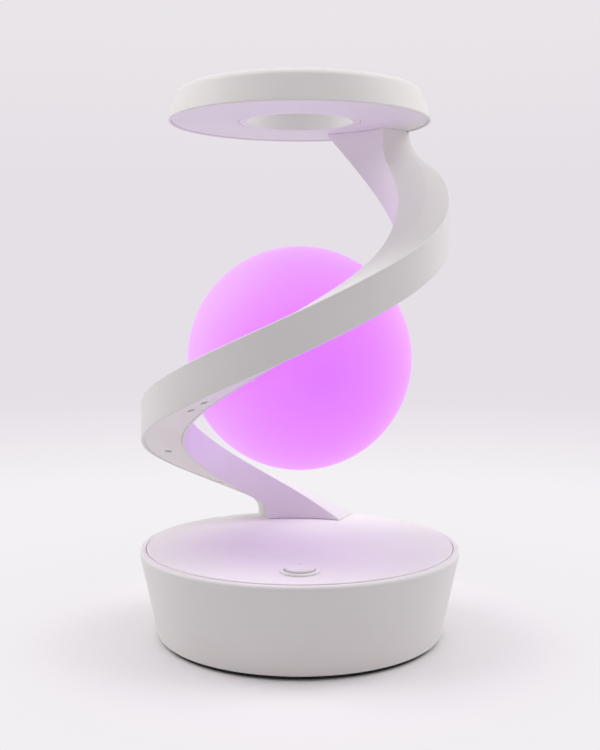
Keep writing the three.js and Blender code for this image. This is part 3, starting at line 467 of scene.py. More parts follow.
@dataclass(frozen=True)
class LitOpal(Finish):
    """Opal polycarbonate lit from inside. Its glow is deepest round a point on the globe's front and paler
    further off, towards the rim and the back: painted shading and a painted pale rim, made a little uneven
    by soft clouds.
    """

    glow: tuple[tuple[float, str], ...] = ((0.0, "#C557FF"), (0.26, "#CD64FF"), (0.43, "#CF75FF"),
                                           (0.58, "#CF86FB"), (0.71, "#CC8DF8"), (1.0, "#D498F6"))
    # The point on the globe's front where the glow is painted deepest; its colour is painted paler with
    # distance from this point.
    core: tuple[float, float, float] = (10.0, -50.0, 126.0)
    reach_mm: float = 105.0
    uneven_mm: float = 6.0
    strength: float = 1.15

    def material(self) -> bpy.types.Material:
        """Builds the finish with its glow, whose colour goes by the distance from the centre of the painted
        shading.
        """
        coat = self.start()
        coat.shader.inputs["Base Color"].default_value = linear_colour(self.colour)
        coat.shader.inputs["Emission Strength"].default_value = self.strength
        centred = add_node(coat.tree, "ShaderNodeVectorMath",
                           {"operation": "SUBTRACT", 1: Vector(self.core) * MM}, {0: coat.place})
        distance = add_node(coat.tree, "ShaderNodeVectorMath", {"operation": "LENGTH"},
                            {0: centred.outputs["Vector"]})
        uneven = add_node(coat.tree, "ShaderNodeMath", {"operation": "MULTIPLY_ADD", 1: self.uneven_mm * MM},
                          {0: coat.clouds(self.drift_mm, detail=1.0), 2: distance.outputs["Value"]})
        share = add_node(coat.tree, "ShaderNodeMapRange",
                         {"From Min": self.uneven_mm / 2 * MM, "From Max": self.reach_mm * MM},
                         {"Value": uneven.outputs["Value"]})
        glow = add_node(coat.tree, "ShaderNodeValToRGB", {"stops": self.glow},
                        {"Fac": share.outputs["Result"]})
        coat.feed("Emission Color", glow.outputs["Color"])
        return coat.material


@dataclass(frozen=True)
class CircuitBoard(Finish):
    """Glass-fibre laminate under solder mask, with the lighter lines of copper tracks beneath."""

    track_mm: float = 1.6
    track_width_share: float = 0.12
    track_length_share: float = 4.0

    def material(self) -> bpy.types.Material:
        """Builds the finish with its tracks."""
        coat = self.start()
        mask, row = linear_colour(self.colour), self.track_mm * MM
        tracks = add_node(coat.tree, "ShaderNodeTexBrick", {
            "Scale": 1.0, "Color1": mask, "Color2": mask, "Mortar": linear_colour(self.second_colour),
            "Mortar Size": self.track_width_share * row, "Brick Width": self.track_length_share * row,
            "Row Height": row,
        }, {"Vector": coat.place})
        coat.feed("Base Color", tracks.outputs["Color"])
        return coat.material


@dataclass(frozen=True)
class Finishes:
    """One finish for each material slot of the record, under the slot's name."""

    # Injection-moulded ABS with a spark-eroded texture: satin, warm white, edges that catch a soft light.
    # The texture's real grain of 0.1 mm is too fine to show, so it is drawn at 0.8 mm.
    white_shell: Finish = Finish("satin_moulded_abs", "#EDE9E8", "#EAE6E5", roughness=0.5)
    # The same ABS from a finer tool, a little paler and duller. Its colour is also a little greener than the
    # shell's: a painted counter-tint that takes out part of the lilac light the globe throws on it.
    white_plate: Finish = Finish("fine_moulded_abs", "#F0EFE9", "#EDECE6", roughness=0.6, grain_mm=0.6,
                                 specular=0.15)
    # Semi-gloss ABS of the small trim, polished in the tool: a tighter highlight.
    white_trim: Finish = Finish("semi_gloss_abs", "#EDECE6", "#E9E8E2", roughness=0.42, grain_depth=0.004,
                                specular=0.25)
    # Opal acrylic sheet, not lit: even and milky, with a soft sheen.
    milky_diffuser: Finish = Finish("opal_acrylic_sheet", "#E9E9E5", "#E6E6E2", roughness=0.55,
                                    grain_depth=0.004)
    # Lit opal polycarbonate: the glow hides the surface, only a trace of gloss is left.
    globe_glow: Finish = LitOpal("lit_opal_polycarbonate", "#7C7084", "#7C7084", roughness=0.6,
                                 grain_depth=0.006, specular=0.2, drift_mm=45)
    # Black nitrile rubber, matt from fine talc in the mould.
    black_rubber: Finish = Finish("black_nitrile_rubber", "#171618", "#2C2A2C", roughness=0.85, drift_mm=6,
                                  grain_depth=0.03)
    # Bright zinc plating on mild steel: cool grey, slightly cloudy.
    plain_steel: Finish = Finish("bright_zinc_plated_steel", "#B9B9BE", "#A5A6AC", roughness=0.34,
                                 metallic=1.0, drift_mm=4, grain_mm=0.5, grain_depth=0.006)
    # FR4 laminate under green solder mask: semi-gloss with paler tracks.
    board_green: Finish = CircuitBoard("green_masked_fr4_board", "#1F6B4A", "#3F8C66", roughness=0.4)
    # Black ABS of the switch, the chip and the inlet's tongue: satin with faint moulding flow.
    black_plastic: Finish = Finish("black_moulded_abs", "#232325", "#29292B", roughness=0.48, drift_mm=5)
    # Plasticised PVC cable jacket: soft sheen.
    cable_jacket: Finish = Finish("pvc_cable_jacket", "#DBD9D8", "#D2D0CF", roughness=0.5, drift_mm=8)
    # Silicone-filled diode package: pale yellow and glossy.
    led_package: Finish = Finish("diode_phosphor_silicone", "#F2EFC9", "#F5F2DB", roughness=0.25,
                                 drift_mm=1.5)

    def by_slot(self) -> dict[str, Finish]:
        """Returns the finish of each record slot."""
        return {field.name: getattr(self, field.name) for field in fields(self)}


class Workshop:
    """Dresses pieces and puts them in the frame."""

    def __init__(self, finishes: Finishes) -> None:
        """Builds one material for each record slot."""
        self.materials = {name: finish.material() for name, finish in finishes.by_slot().items()}
        self.slots = {part["node"]: part["material_slot"] for part in frame["record"]["subparts"]}

    def deliver(
        self,
        piece: Piece,
        slot: str,
        replaced: Sequence[str],
        body: Body = Body.LAMP,
        sharp: float = SOFT,
    ) -> None:
        """Smooths a finished piece, dresses it, and makes it ride on its body.

        Args:
            piece: The piece, in place.
            slot: The record slot that it takes its finish from.
            replaced: The CAD nodes that it stands for.
            body: The body that it rides on.
            sharp: Angle above which an edge stays sharp.
        """
        pick(piece)
        bpy.ops.object.shade_smooth_by_angle(angle=math.radians(sharp))
        use_modifier(piece, "WEIGHTED_NORMAL", keep_sharp=True)
        piece.data.materials.clear()
        piece.data.materials.append(self.materials[slot])
        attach(piece, body.value)
        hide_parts(*replaced)
        triangles = sum(len(face.vertices) - 2 for face in piece.data.polygons)
        LOG.info("%s stands for %s on %s with %d triangles",
                 piece.name, ", ".join(replaced), body.value, triangles)

    def dress_nodes(self) -> None:
        """Gives each CAD node that still shows the material of its slot."""
        for name, node in frame["nodes"].items():
            if node.hide_render:
                continue
            material = self.materials[self.slots[name]]
            if not node.material_slots:
                node.data.materials.append(material)
            for holder in node.material_slots:
                holder.material = material
            LOG.info("%s keeps its CAD shape with %s", name, material.name)


# Screws


@dataclass(frozen=True)
class Screw:
    """A pan-head screw with a cross recess. Its shank points along +Z and its head lies below the origin."""

    radius: float
    length: float
    head_radius: float
    head_height: float
    cross_reach_share: float = 0.62
    cross_width_share: float = 0.13
    cross_depth_share: float = 0.55

    def build(self, name: str) -> Piece:
        """Models the screw round the origin."""
        dome = arc(0, 0, self.head_radius, -90, 0, 8)
        head = [(r, z * self.head_height / self.head_radius) for r, z in dome]
        tip = self.length - self.radius
        profile = [(0.0, -self.head_height), *head[1:], (self.radius, 0.0), (self.radius, tip),
                   (0.0, self.length)]
        piece = spun(name, profile, facets=32)
        half, width = self.cross_reach_share * self.head_radius, self.cross_width_share * self.head_radius
        low = -self.head_height - OVERRUN
        high = self.cross_depth_share * self.head_height - self.head_height
        bars = [
            box_piece("cross_bar", Vector((-a, -b, low)), Vector((a, b, high)))
            for a, b in ((half, width), (width, half))
        ]
        combine(piece, bars, "DIFFERENCE")
        return piece

    def pocket(self, low: float, radius: float, seat: float, high: float) -> list[Point]:
        """Returns the profile of a tool that cuts a pocket from low to the seat, and a bore to high."""
        bore, mouth, end = self.radius + SEAT_GAP, low - OVERRUN, high + OVERRUN
        return [(0.0, mouth), (radius, mouth), (radius, seat), (bore, seat), (bore, end), (0.0, end)]

    def fit(self, shop: Workshop, name: str, node: str, frames: Sequence[Matrix]) -> None:
        """Models the screw once and sets a copy in each place.

        Args:
            shop: The workshop that the screws are delivered to.
            name: What the pieces are called, before their number.
            node: What their CAD nodes are called, before their number.
            frames: The place of each screw, with Z along its shank.
        """
        master = self.build(f"{name}_1")
        screws = [master, *(copy_of(master, f"{name}_{i}") for i in range(2, len(frames) + 1))]
        for i, (piece, matrix) in enumerate(zip(screws, frames), start=1):
            place(piece, matrix)
            shop.deliver(piece, "plain_steel", [f"{node}_{i}"], sharp=CRISP)


# Base


@dataclass
class Base:
    """Weighted round base: bowl, top plate, button with bezel, power inlet, bottom cover and foot ring."""

    rim_radius: float = 75.0
    rim_height: float = 42.6
    rim_round: float = 1.4
    rim_width: float = 2.7
    rim_drop: float = 0.35
    seat_edge: float = 0.25
    foot_radius: float = 67.2
    foot_round: float = 1.2
    wall: float = 2.4
    bottom: float = 1.8
    ledge_width: float = 3.0
    ledge_thickness: float = 2.0
    plate_thickness: float = 2.6
    plate_edge: float = 0.5
    cover_top: float = 5.0
    cover_ease: float = 0.3
    lip_width: float = 4.0
    rubber_height: float = 1.5
    rubber_inner: float = 59.0
    rubber_outer: float = 64.9
    rubber_ease: float = 0.35
    screw_circle: float = 56.0
    screw_turns: tuple[float, ...] = (45, 135, 225, 315)
    screw: Screw = Screw(radius=1.4, length=11, head_radius=2.9, head_height=1.3)
    button_y: float = -52.4
    button_radius: float = 6.4
    button_proud: float = 1.9
    button_edge: float = 0.75
    button_dish: float = 0.35
    dish_radius_share: float = 0.9
    button_skirt: float = 4.4
    flange_radius: float = 7.5
    flange_thickness: float = 1.0
    stem_radius: float = 2.2
    bezel_radius: float = 8.65
    bezel_proud: float = 0.9
    bezel_lift: float = 0.05
    bezel_outer_round: float = 0.7
    bezel_inner_round: float = 0.35
    bezel_wall: float = 1.0
    bezel_drop: float = 1.5
    mark_width: float = 0.9
    mark_length: float = 3.0
    mark_depth: float = 0.13
    mark_dip_share: float = 0.4
    mark_height_share: float = 0.999
    inlet_width: float = 8.9
    inlet_height: float = 3.2
    inlet_depth: float = 7.4
    inlet_wall: float = 0.3
    inlet_level: float = 16.9
    inlet_recess: float = 0.5
    slot_clearance: float = 0.35
    tongue_ease: float = 0.15

    def side_radius(self, height: float) -> float:
        """Returns the outer radius of the bowl's tapered side at a height."""
        low, high = self.bottom + self.foot_round, self.rim_height - 2 * self.rim_round
        return lerp(self.foot_radius, self.rim_radius, (height - low) / (high - low))

    @property
    def seat_radius(self) -> float:
        """Returns the radius of the recess that the top plate sits in."""
        return self.rim_radius - self.rim_width

    @property
    def plate_bottom(self) -> float:
        """Returns the height of the top plate's underside."""
        return self.rim_height - self.plate_thickness

    @property
    def cover_seat(self) -> float:
        """Returns the radius of the opening that the bottom cover closes."""
        return self.foot_radius - self.foot_round / 2 - self.wall

    @property
    def sleeve_radius(self) -> float:
        """Returns the outer radius of the bezel's sleeve through the top plate."""
        return self.button_radius + SEAT_GAP + self.bezel_wall

    @property
    def button_centre(self) -> Vector:
        """Returns a point on the button's axis."""
        return Vector((0, self.button_y, 0))

    @property
    def inlet_face(self) -> float:
        """Returns the Y of the inlet's mouth."""
        return self.side_radius(self.inlet_level) - self.inlet_recess

    def build(self, shop: Workshop) -> None:
        """Builds every piece of the base."""
        self.build_bowl(shop)
        self.build_plate(shop)
        self.build_bottom(shop)
        self.build_button(shop)
        self.build_bezel(shop)
        self.build_inlet(shop)

    def build_bowl(self, shop: Workshop) -> None:
        """Turns the bowl's wall, ledge and lip, and cuts the slot for the inlet."""
        ledge_top = self.plate_bottom - SEAT_GAP
        ledge_low = ledge_top - 2 * self.ledge_thickness
        lip_low = self.cover_top + SEAT_GAP
        lip_high = lip_low + self.ledge_thickness
        crest = self.rim_height - self.rim_drop
        foot, rim, edge = self.foot_round, self.rim_round, self.seat_edge
        inside = self.seat_radius
        ledge, lip = inside - self.ledge_width, self.cover_seat - self.lip_width
        profile = [
            (self.cover_seat, self.bottom),
            *arc(self.foot_radius - foot, self.bottom + foot, foot, -90, -6, 6),
            (self.rim_radius, self.rim_height - 2 * rim),
            *arc(self.rim_radius - rim, crest - rim, rim, 4, 90, 10),
            (inside + edge, crest), (inside + edge / 4, crest - edge / 4), (inside, crest - edge),
            (inside, ledge_top), (ledge, ledge_top), (ledge, ledge_top - self.ledge_thickness),
            (self.side_radius(ledge_low) - self.wall, ledge_low),
            (self.side_radius(lip_high) - self.wall, lip_high),
            (lip, lip_high), (lip, lip_low), (self.cover_seat, lip_low),
        ]
        bowl = spun("base_side_wall", profile)
        reach = 2 * self.wall
        slot = slot_shape("inlet_slot", self.inlet_width + 2 * self.slot_clearance,
                          self.inlet_height + 2 * self.slot_clearance,
                          (self.inlet_face - reach, self.inlet_face + reach), self.inlet_level)
        combine(bowl, [slot], "DIFFERENCE")
        shop.deliver(bowl, "white_shell", ["base_bowl"])

    def build_plate(self, shop: Workshop) -> None:
        """Turns the top plate and cuts the hole for the button."""
        edge, radius = self.plate_edge, self.seat_radius - SEAT_GAP
        profile = [
            (0.0, self.plate_bottom), (radius, self.plate_bottom),
            *arc(radius - edge, self.rim_height - edge, edge, 0, 90, 4), (0.0, self.rim_height),
        ]
        plate = spun("base_top_disc", profile)
        low, high = self.plate_bottom - OVERRUN, self.rim_height + OVERRUN
        through = block(0.0, self.sleeve_radius + SEAT_GAP, low, high)
        hole = spun("button_hole", through, centre=self.button_centre, facets=96)
        combine(plate, [hole], "DIFFERENCE")
        shop.deliver(plate, "white_plate", ["base_top_plate"])

    def build_bottom(self, shop: Workshop) -> None:
        """Builds the bottom cover with its screw pockets, the screws and the rubber foot ring."""
        disc = block(0.0, self.cover_seat - SEAT_GAP, self.bottom, self.cover_top)
        cover = spun("base_underside", eased(disc, self.cover_ease))
        places = [polar(self.screw_circle, turn) for turn in self.screw_turns]
        seat = self.bottom + self.screw.head_height + SEAT_GAP
        pocket = self.screw.pocket(self.bottom, self.screw.head_radius + SEAT_GAP, seat, self.cover_top)
        pockets = [spun("screw_pocket", pocket, centre=at, facets=48) for at in places]
        combine(cover, pockets, "DIFFERENCE")
        shop.deliver(cover, "white_shell", ["base_bottom_cover"])
        lift = Vector((0, 0, seat - SEAT_GAP))
        frames = [Matrix.Translation((at + lift) * MM) for at in places]
        self.screw.fit(shop, "base_fixing", "base_screw", frames)
        ring = eased(block(self.rubber_inner, self.rubber_outer, 0.0, self.rubber_height), self.rubber_ease)
        shop.deliver(spun("foot_ring", ring), "black_rubber", ["rubber_foot_ring"])

    def build_button(self, shop: Workshop) -> None:
        """Builds the dished button with its flange and stem, and cuts the short line in its top."""
        radius, edge, dish = self.button_radius, self.button_edge, self.button_dish
        top = self.rim_height + self.button_proud
        stem_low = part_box("power_button")[0].z / MM
        flange_high = self.plate_bottom - self.bezel_drop - SEAT_GAP
        flange_low = flange_high - self.flange_thickness
        waist, skirt_low = radius - self.bezel_wall, top - self.button_skirt
        profile = [
            (0.0, stem_low), (self.stem_radius, stem_low), (self.stem_radius, flange_low),
            (self.flange_radius, flange_low), (self.flange_radius, flange_high),
            (waist, flange_high), (waist, skirt_low), (radius, skirt_low),
            *arc(radius - edge, top - edge, edge, 0, 90, 5),
            *((radius * share, top - dish * (1 - (share / self.dish_radius_share) ** 2))
              for share in (0.85, 0.7, 0.5, 0.3, 0.15)),
            (0.0, top - dish),
        ]
        button = spun("push_button", profile, centre=self.button_centre, facets=96)
        mark_end = self.button_y + radius - edge
        mark_height = self.mark_width * self.mark_height_share
        level = top - self.mark_dip_share * dish - self.mark_depth + self.mark_width / 2
        mark = slot_shape("mark_groove", self.mark_width, mark_height,
                          (mark_end - self.mark_length, mark_end), level)
        combine(button, [mark], "DIFFERENCE")
        shop.deliver(button, "white_trim", ["power_button"], Body.BUTTON, sharp=CRISP)

    def build_bezel(self, shop: Workshop) -> None:
        """Turns the raised bezel round the button, with its sleeve through the top plate."""
        bore, sleeve_low = self.button_radius + SEAT_GAP, self.plate_bottom - self.bezel_drop
        seat, high = self.rim_height + self.bezel_lift, self.rim_height + self.bezel_proud
        outside, inside = self.bezel_outer_round, self.bezel_inner_round
        ring = [
            (bore, sleeve_low), (self.sleeve_radius, sleeve_low), (self.sleeve_radius, seat),
            (self.bezel_radius, seat),
            *arc(self.bezel_radius - outside, high - outside, outside, 0, 90, 6),
            *arc(bore + inside, high - inside, inside, 90, 180, 4),
        ]
        bezel = spun("button_surround", ring, centre=self.button_centre, facets=96)
        shop.deliver(bezel, "white_trim", ["button_bezel"], sharp=CRISP)

    def build_inlet(self, shop: Workshop) -> None:
        """Builds the inlet's drawn metal shell and the tongue inside it."""
        ends = (self.inlet_face - self.inlet_depth, self.inlet_face)
        shell = slot_shape("inlet_socket", self.inlet_width, self.inlet_height, ends, self.inlet_level)
        bpy.ops.object.mode_set(mode="EDIT")
        faces_out = 0.9
        choose(shell, "faces", lambda at, normal: normal.y > faces_out)
        bpy.ops.mesh.inset(thickness=self.inlet_wall * MM)
        inward = (self.inlet_depth - 2 * self.inlet_wall) * MM
        bpy.ops.mesh.extrude_region_move(TRANSFORM_OT_translate={"value": (0, -inward, 0)})
        close_up()
        shop.deliver(shell, "plain_steel", ["inlet_shell"], sharp=CRISP)
        tongue = box_piece("inlet_blade", *(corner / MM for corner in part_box("inlet_tongue")))
        use_modifier(tongue, "BEVEL", width=self.tongue_ease * MM, segments=2)
        shop.deliver(tongue, "black_plastic", ["inlet_tongue"], sharp=CRISP)


# Arm


@dataclass(frozen=True)
class StationLaw:
    """A smooth curve through shares at stations an equal turn apart, the same curve as the CAD arm's."""

    shares: tuple[float, ...]
    first: float = 60.0
    step: float = 45.0

    def at(self, turn: float) -> float:
        """Returns the share at a turn."""
        last = len(self.shares) - 2
        i = min(max(int((turn - self.first) // self.step), 0), last)
        p = (turn - self.first) / self.step - i
        here, there = self.shares[i], self.shares[i + 1]
        leave = (there - self.shares[i - 1]) / 2 if i > 0 else there - here
        arrive = (self.shares[i + 2] - here) / 2 if i < last else there - here
        square = 3 * (there - here) - 2 * leave - arrive
        cube = 2 * (here - there) + leave + arrive
        return here + p * (leave + p * (square + p * cube))


@dataclass
class Arm:
    """The ribbon that climbs one turn round the globe, the cover let into its underside, and its screws."""

    rim_height: float = 42.6
    underside: float = 238.5
    band_height: float = 18.0
    wall: float = 1.6
    edge: float = 0.6
    broad_radius: float = 73.6
    globe_radius: float = 53.7
    rim_radius: float = 59.6
    head_radius: float = 39.0
    tip: float = 0.4
    rise: StationLaw = StationLaw((-0.061, 0.072, 0.201, 0.318, 0.437, 0.568, 0.706, 0.853, 1.013, 1.185))
    band: StationLaw = StationLaw((0.95, 0.92, 0.97, 1.01, 1, 1, 1.05, 1.34, 1.14, 0.93))
    inner_law: StationLaw = StationLaw((0.1, -0.04, 0, 0, -0.08, -0.05, 0.42, 0.73, 0.98, 1))
    outer_law: StationLaw = StationLaw((0.14, 0.16, 0.03, -0.02, 0.06, 0.14, 0.21, 0.55, 0.95, 1))
    start: float = 67.0
    end: float = 429.0
    foot_turn: float = 108.0
    foot_fillet: float = 5.0
    foot_rise: float = 0.02
    head_inner_turn: float = 381.0
    head_outer_turn: float = 387.0
    head_inner_fillet: float = 5.0
    head_outer_fillet: float = 11.0
    head_seat: float = 0.55
    lip_seat: float = -0.05
    lip_radius: float = 58.1
    seat_edge: float = 0.15
    seat_blend: float = 3.0
    tuck_from: float = 368.0
    askew_from: Pair = (345.0, 374.0)
    askew_until: Pair = (383.0, 412.0)
    tip_turns: float = 8.0
    cover_inset: float = 0.32
    cover_thickness: float = 2.35
    cover_gap: float = 0.08
    cover_ease: float = 0.15
    boss_radius: float = 2.9
    boss_height: float = 2.0
    recess_radius: float = 1.85
    recess_floor: float = 0.9
    groove_depth: float = 5.2
    screw_turns: tuple[float, ...] = (130, 173, 223.5, 231, 278, 330, 404)
    screw: Screw = Screw(radius=0.9, length=7, head_radius=1.5, head_height=0.8)

    @property
    def floor(self) -> float:
        """Returns the height of the foot's underside, a hair over the top plate."""
        return self.rim_height + self.foot_rise

    def ceiling(self, radius: float) -> float:
        """Returns the height of the end under the head: up to the diffuser, under the lip at the edge."""
        return self.underside + (self.head_seat if radius < self.lip_radius else self.lip_seat)

    def middle(self, turn: float) -> float:
        """Returns the height of the ribbon's middle."""
        return lerp(self.rim_height, self.underside, self.rise.at(turn))

    def half(self, turn: float) -> float:
        """Returns half the ribbon's height."""
        return self.band_height * self.band.at(turn) / 2

    def inner(self, turn: float) -> float:
        """Returns the radius of the ribbon's inner face."""
        return lerp(self.globe_radius, self.head_radius, self.inner_law.at(turn))

    def outer(self, turn: float) -> float:
        """Returns the radius of the ribbon's outer face, which draws in to the head's rim near the top."""
        free = lerp(self.broad_radius, self.rim_radius, self.outer_law.at(turn))
        return lerp(free, self.rim_radius, smooth_share(turn, self.tuck_from, self.head_outer_turn))

    def middle_radius(self, turn: float) -> float:
        """Returns the radius of the ribbon's middle."""
        return (self.inner(turn) + self.outer(turn)) / 2

    def arc_turn(self, length: float, turn: float) -> float:
        """Returns the turn that a length along the ribbon takes."""
        return math.degrees(length / self.middle_radius(turn))

    @staticmethod
    def fillet_rise(fillet: float, away: float) -> float:
        """Returns how far a concave fillet stands off its corner, a distance away from it."""
        return fillet - math.sqrt(fillet ** 2 - (fillet - away) ** 2) if away < fillet else 0.0

    def top(self, turn: float, across: float) -> float:
        """Returns the height of the top face, which curves up to the end face under the head.

        Args:
            turn: Where the place lies along the arm.
            across: How far it lies from the inner face to the outer, as a share.
        """
        end_turn = lerp(self.head_inner_turn, self.head_outer_turn, across)
        high = self.underside + self.head_seat
        if turn >= end_turn - SAME_TURN:
            return high
        fillet = lerp(self.head_inner_fillet, self.head_outer_fillet, across)
        away = math.radians(end_turn - turn) * self.middle_radius(turn)
        free = self.middle(turn) + self.half(turn) + self.fillet_rise(fillet, away)
        return min(max(free, self.floor + self.tip), high)

    def bottom(self, turn: float) -> float:
        """Returns the height of the underside, which curves down to the foot's end face."""
        if turn <= self.foot_turn:
            return self.floor
        away = math.radians(turn - self.foot_turn) * self.middle_radius(turn)
        free = self.middle(turn) - self.half(turn) - self.fillet_rise(self.foot_fillet, away)
        return max(free, self.floor)

    def outer_turn(self, turn: float) -> float:
        """Returns the turn of a section's outer corner, which runs ahead where the end face lies askew."""
        lead = self.head_outer_turn - self.head_inner_turn
        if turn <= self.head_inner_turn:
            return turn + lead * smooth_share(turn, *self.askew_from)
        return turn + lead * (1 - smooth_share(turn, *self.askew_until))

    @property
    def foot_end(self) -> float:
        """Returns the turn at which the foot's fillet ends."""
        return self.foot_turn + self.arc_turn(self.foot_fillet, self.foot_turn)

    @property
    def cover_start(self) -> float:
        """Returns the turn at which the groove for the cover starts."""
        return self.foot_end + self.arc_turn(self.wall, self.foot_turn)

    @property
    def cover_end(self) -> float:
        """Returns the turn at which the groove for the cover ends."""
        return self.end - self.tip_turns

    @property
    def boss_top(self) -> float:
        """Returns how far into the arm the cover's bosses reach."""
        return self.cover_inset + self.cover_thickness + self.boss_height

    @property
    def screw_seat(self) -> float:
        """Returns how far into the arm the heads of the cover's screws bear."""
        return self.boss_top - self.recess_floor

    def section_turns(self) -> list[float]:
        """Returns the turns of the ribbon's sections, close together at its fillets."""
        past = 0.03
        head_start = self.head_inner_turn - self.arc_turn(self.head_outer_fillet, self.head_inner_turn)
        plain_step, tip_step, joint_step, head_step, foot_step = 2.5, 2.0, 1.5, 0.75, 0.6
        return [
            *turns_between(self.start, self.foot_turn, plain_step),
            *turns_between(self.foot_turn + past, self.foot_end, foot_step),
            *turns_between(self.foot_end, self.cover_start, joint_step)[1:],
            *turns_between(self.cover_start, head_start, plain_step)[1:],
            *turns_between(head_start, self.head_inner_turn - past, head_step)[1:],
            *turns_between(self.head_inner_turn, self.cover_end, plain_step),
            *turns_between(self.cover_end, self.end, tip_step)[1:],
        ]

    def section(self, turn: float) -> list[Vector]:
        """Returns the ribbon's section at a turn, with its four long edges rounded by two faces each."""
        ahead = self.outer_turn(turn)
        inner, outer = self.inner(turn), self.outer(ahead)

        def corner(radius: float, lift: float, is_high: bool) -> Vector:
            """Returns a corner of the section, lifted off its top face or underside."""
            across = (radius - inner) / (outer - inner)
            where = lerp(turn, ahead, across)
            level = min(self.top(where, across), self.ceiling(radius)) if is_high else self.bottom(where)
            return polar(radius, where, level + lift)

        low_edge = min(self.edge, (self.top(turn, 0) - self.bottom(turn)) / 4)
        joined = smooth_share(turn, self.head_inner_turn - self.seat_blend, self.head_inner_turn)
        high_edge = lerp(low_edge, self.seat_edge, joined)
        return [
            *(corner(r, z, False) for r, z in arc(inner + low_edge, low_edge, low_edge, 180, 270, 2)),
            *(corner(r, z, False) for r, z in arc(outer - low_edge, low_edge, low_edge, 270, 360, 2)),
            *(corner(r, z, True) for r, z in arc(outer - high_edge, -high_edge, high_edge, 0, 90, 2)),
            *(corner(self.lip_radius + aside, 0.0, True) for aside in (self.tip, 0.0, -self.tip)),
            *(corner(r, z, True) for r, z in arc(inner + high_edge, -high_edge, high_edge, 90, 180, 2)),
        ]

    def cover_section(self, turn: float) -> list[Vector]:
        """Returns the cover's section at a turn, with its two visible long edges cut back."""
        ahead = self.outer_turn(turn)
        gap, ease = self.wall + self.cover_gap, self.cover_ease
        inner, outer = self.inner(turn) + gap, self.outer(ahead) - gap
        low = [self.bottom(turn) + self.cover_inset, self.bottom(ahead) + self.cover_inset]
        high = [level + self.cover_thickness for level in low]
        return [
            polar(inner, turn, low[0] + ease), polar(inner + ease, turn, low[0]),
            polar(outer - ease, ahead, low[1]), polar(outer, ahead, low[1] + ease),
            polar(outer, ahead, high[1]), polar(inner, turn, high[0]),
        ]

    def underside_frame(self, turn: float, lift: float = 0.0) -> Matrix:
        """Returns the frame of a place in the middle of the underside.

        Args:
            turn: Where the place lies along the arm.
            lift: How far it is moved into the arm.

        Returns:
            A matrix in metres with X across the arm, Y along it and Z up into it.
        """
        def at(where: float) -> Vector:
            """Returns the middle of the underside at a turn."""
            return polar(self.middle_radius(where), where, self.bottom(where))
        along = (at(turn + NEAR_TURN) - at(turn - NEAR_TURN)).normalized()
        up = polar(1, turn).cross(along).normalized()
        across = along.cross(up)
        basis = Matrix((across, along, up)).transposed().to_4x4()
        return Matrix.Translation((at(turn) + up * lift) * MM) @ basis

    def build(self, shop: Workshop) -> None:
        """Builds the ribbon, its cover and the cover's screws."""
        self.build_ribbon(shop)
        self.build_cover(shop)
        frames = [self.underside_frame(turn, self.screw_seat - SEAT_GAP) for turn in self.screw_turns]
        self.screw.fit(shop, "ribbon_fixing", "cover_screw", frames)

    def in_groove(self, at: Vector, normal: Vector) -> bool:
        """Says whether a face of the underside lies where the cover is let in."""
        angle = math.degrees(math.atan2(at.y, at.x)) % 360
        turn = angle if angle >= self.start else angle + 360
        in_middle = abs(math.hypot(at.x, at.y) - self.middle_radius(turn)) < self.wall + self.edge
        return normal.z < 0 and in_middle and self.cover_start < turn < self.cover_end

    def build_ribbon(self, shop: Workshop) -> None:
        """Sweeps the ribbon and sinks the groove for the cover into its underside."""
        ribbon = swept("ribbon_channel", [self.section(turn) for turn in self.section_turns()])
        pick(ribbon)
        bpy.ops.object.mode_set(mode="EDIT")
        count = choose(ribbon, "faces", self.in_groove)
        bpy.ops.mesh.inset(thickness=(self.wall - self.edge) * MM, use_even_offset=True)
        bpy.ops.mesh.extrude_region_shrink_fatten(
            TRANSFORM_OT_shrink_fatten={"value": -self.groove_depth * MM})
        bpy.ops.object.mode_set(mode="OBJECT")
        LOG.info("groove sunk into %d faces of the ribbon", count)
        shop.deliver(ribbon, "white_shell", ["arm_channel"])

    def build_cover(self, shop: Workshop) -> None:
        """Sweeps the cover, and gives it a boss and a recess at each screw."""
        setback = self.wall - self.edge + self.cover_gap
        first = self.cover_start + self.arc_turn(setback, self.cover_start)
        last = self.cover_end - self.arc_turn(setback, self.cover_end)
        turns = [t for t in self.section_turns() if first + NEAR_TURN < t < last - NEAR_TURN]
        cover = swept("ribbon_cover", [self.cover_section(turn) for turn in (first, *turns, last)])
        use_modifier(cover, "TRIANGULATE")
        middle = self.cover_inset + self.cover_thickness / 2
        boss = block(0.0, self.boss_radius, middle, self.boss_top)
        recess = self.screw.pocket(0.0, self.recess_radius, self.screw_seat, self.boss_top)
        for profile, operation in ((boss, "UNION"), (recess, "DIFFERENCE")):
            master = spun("cover_tool", profile, facets=48)
            tools = [master, *(copy_of(master, "cover_tool") for _ in self.screw_turns[1:])]
            for tool, turn in zip(tools, self.screw_turns):
                place(tool, self.underside_frame(turn))
            combine(cover, tools, operation)
        shop.deliver(cover, "white_plate", ["arm_cover"])


# Globe


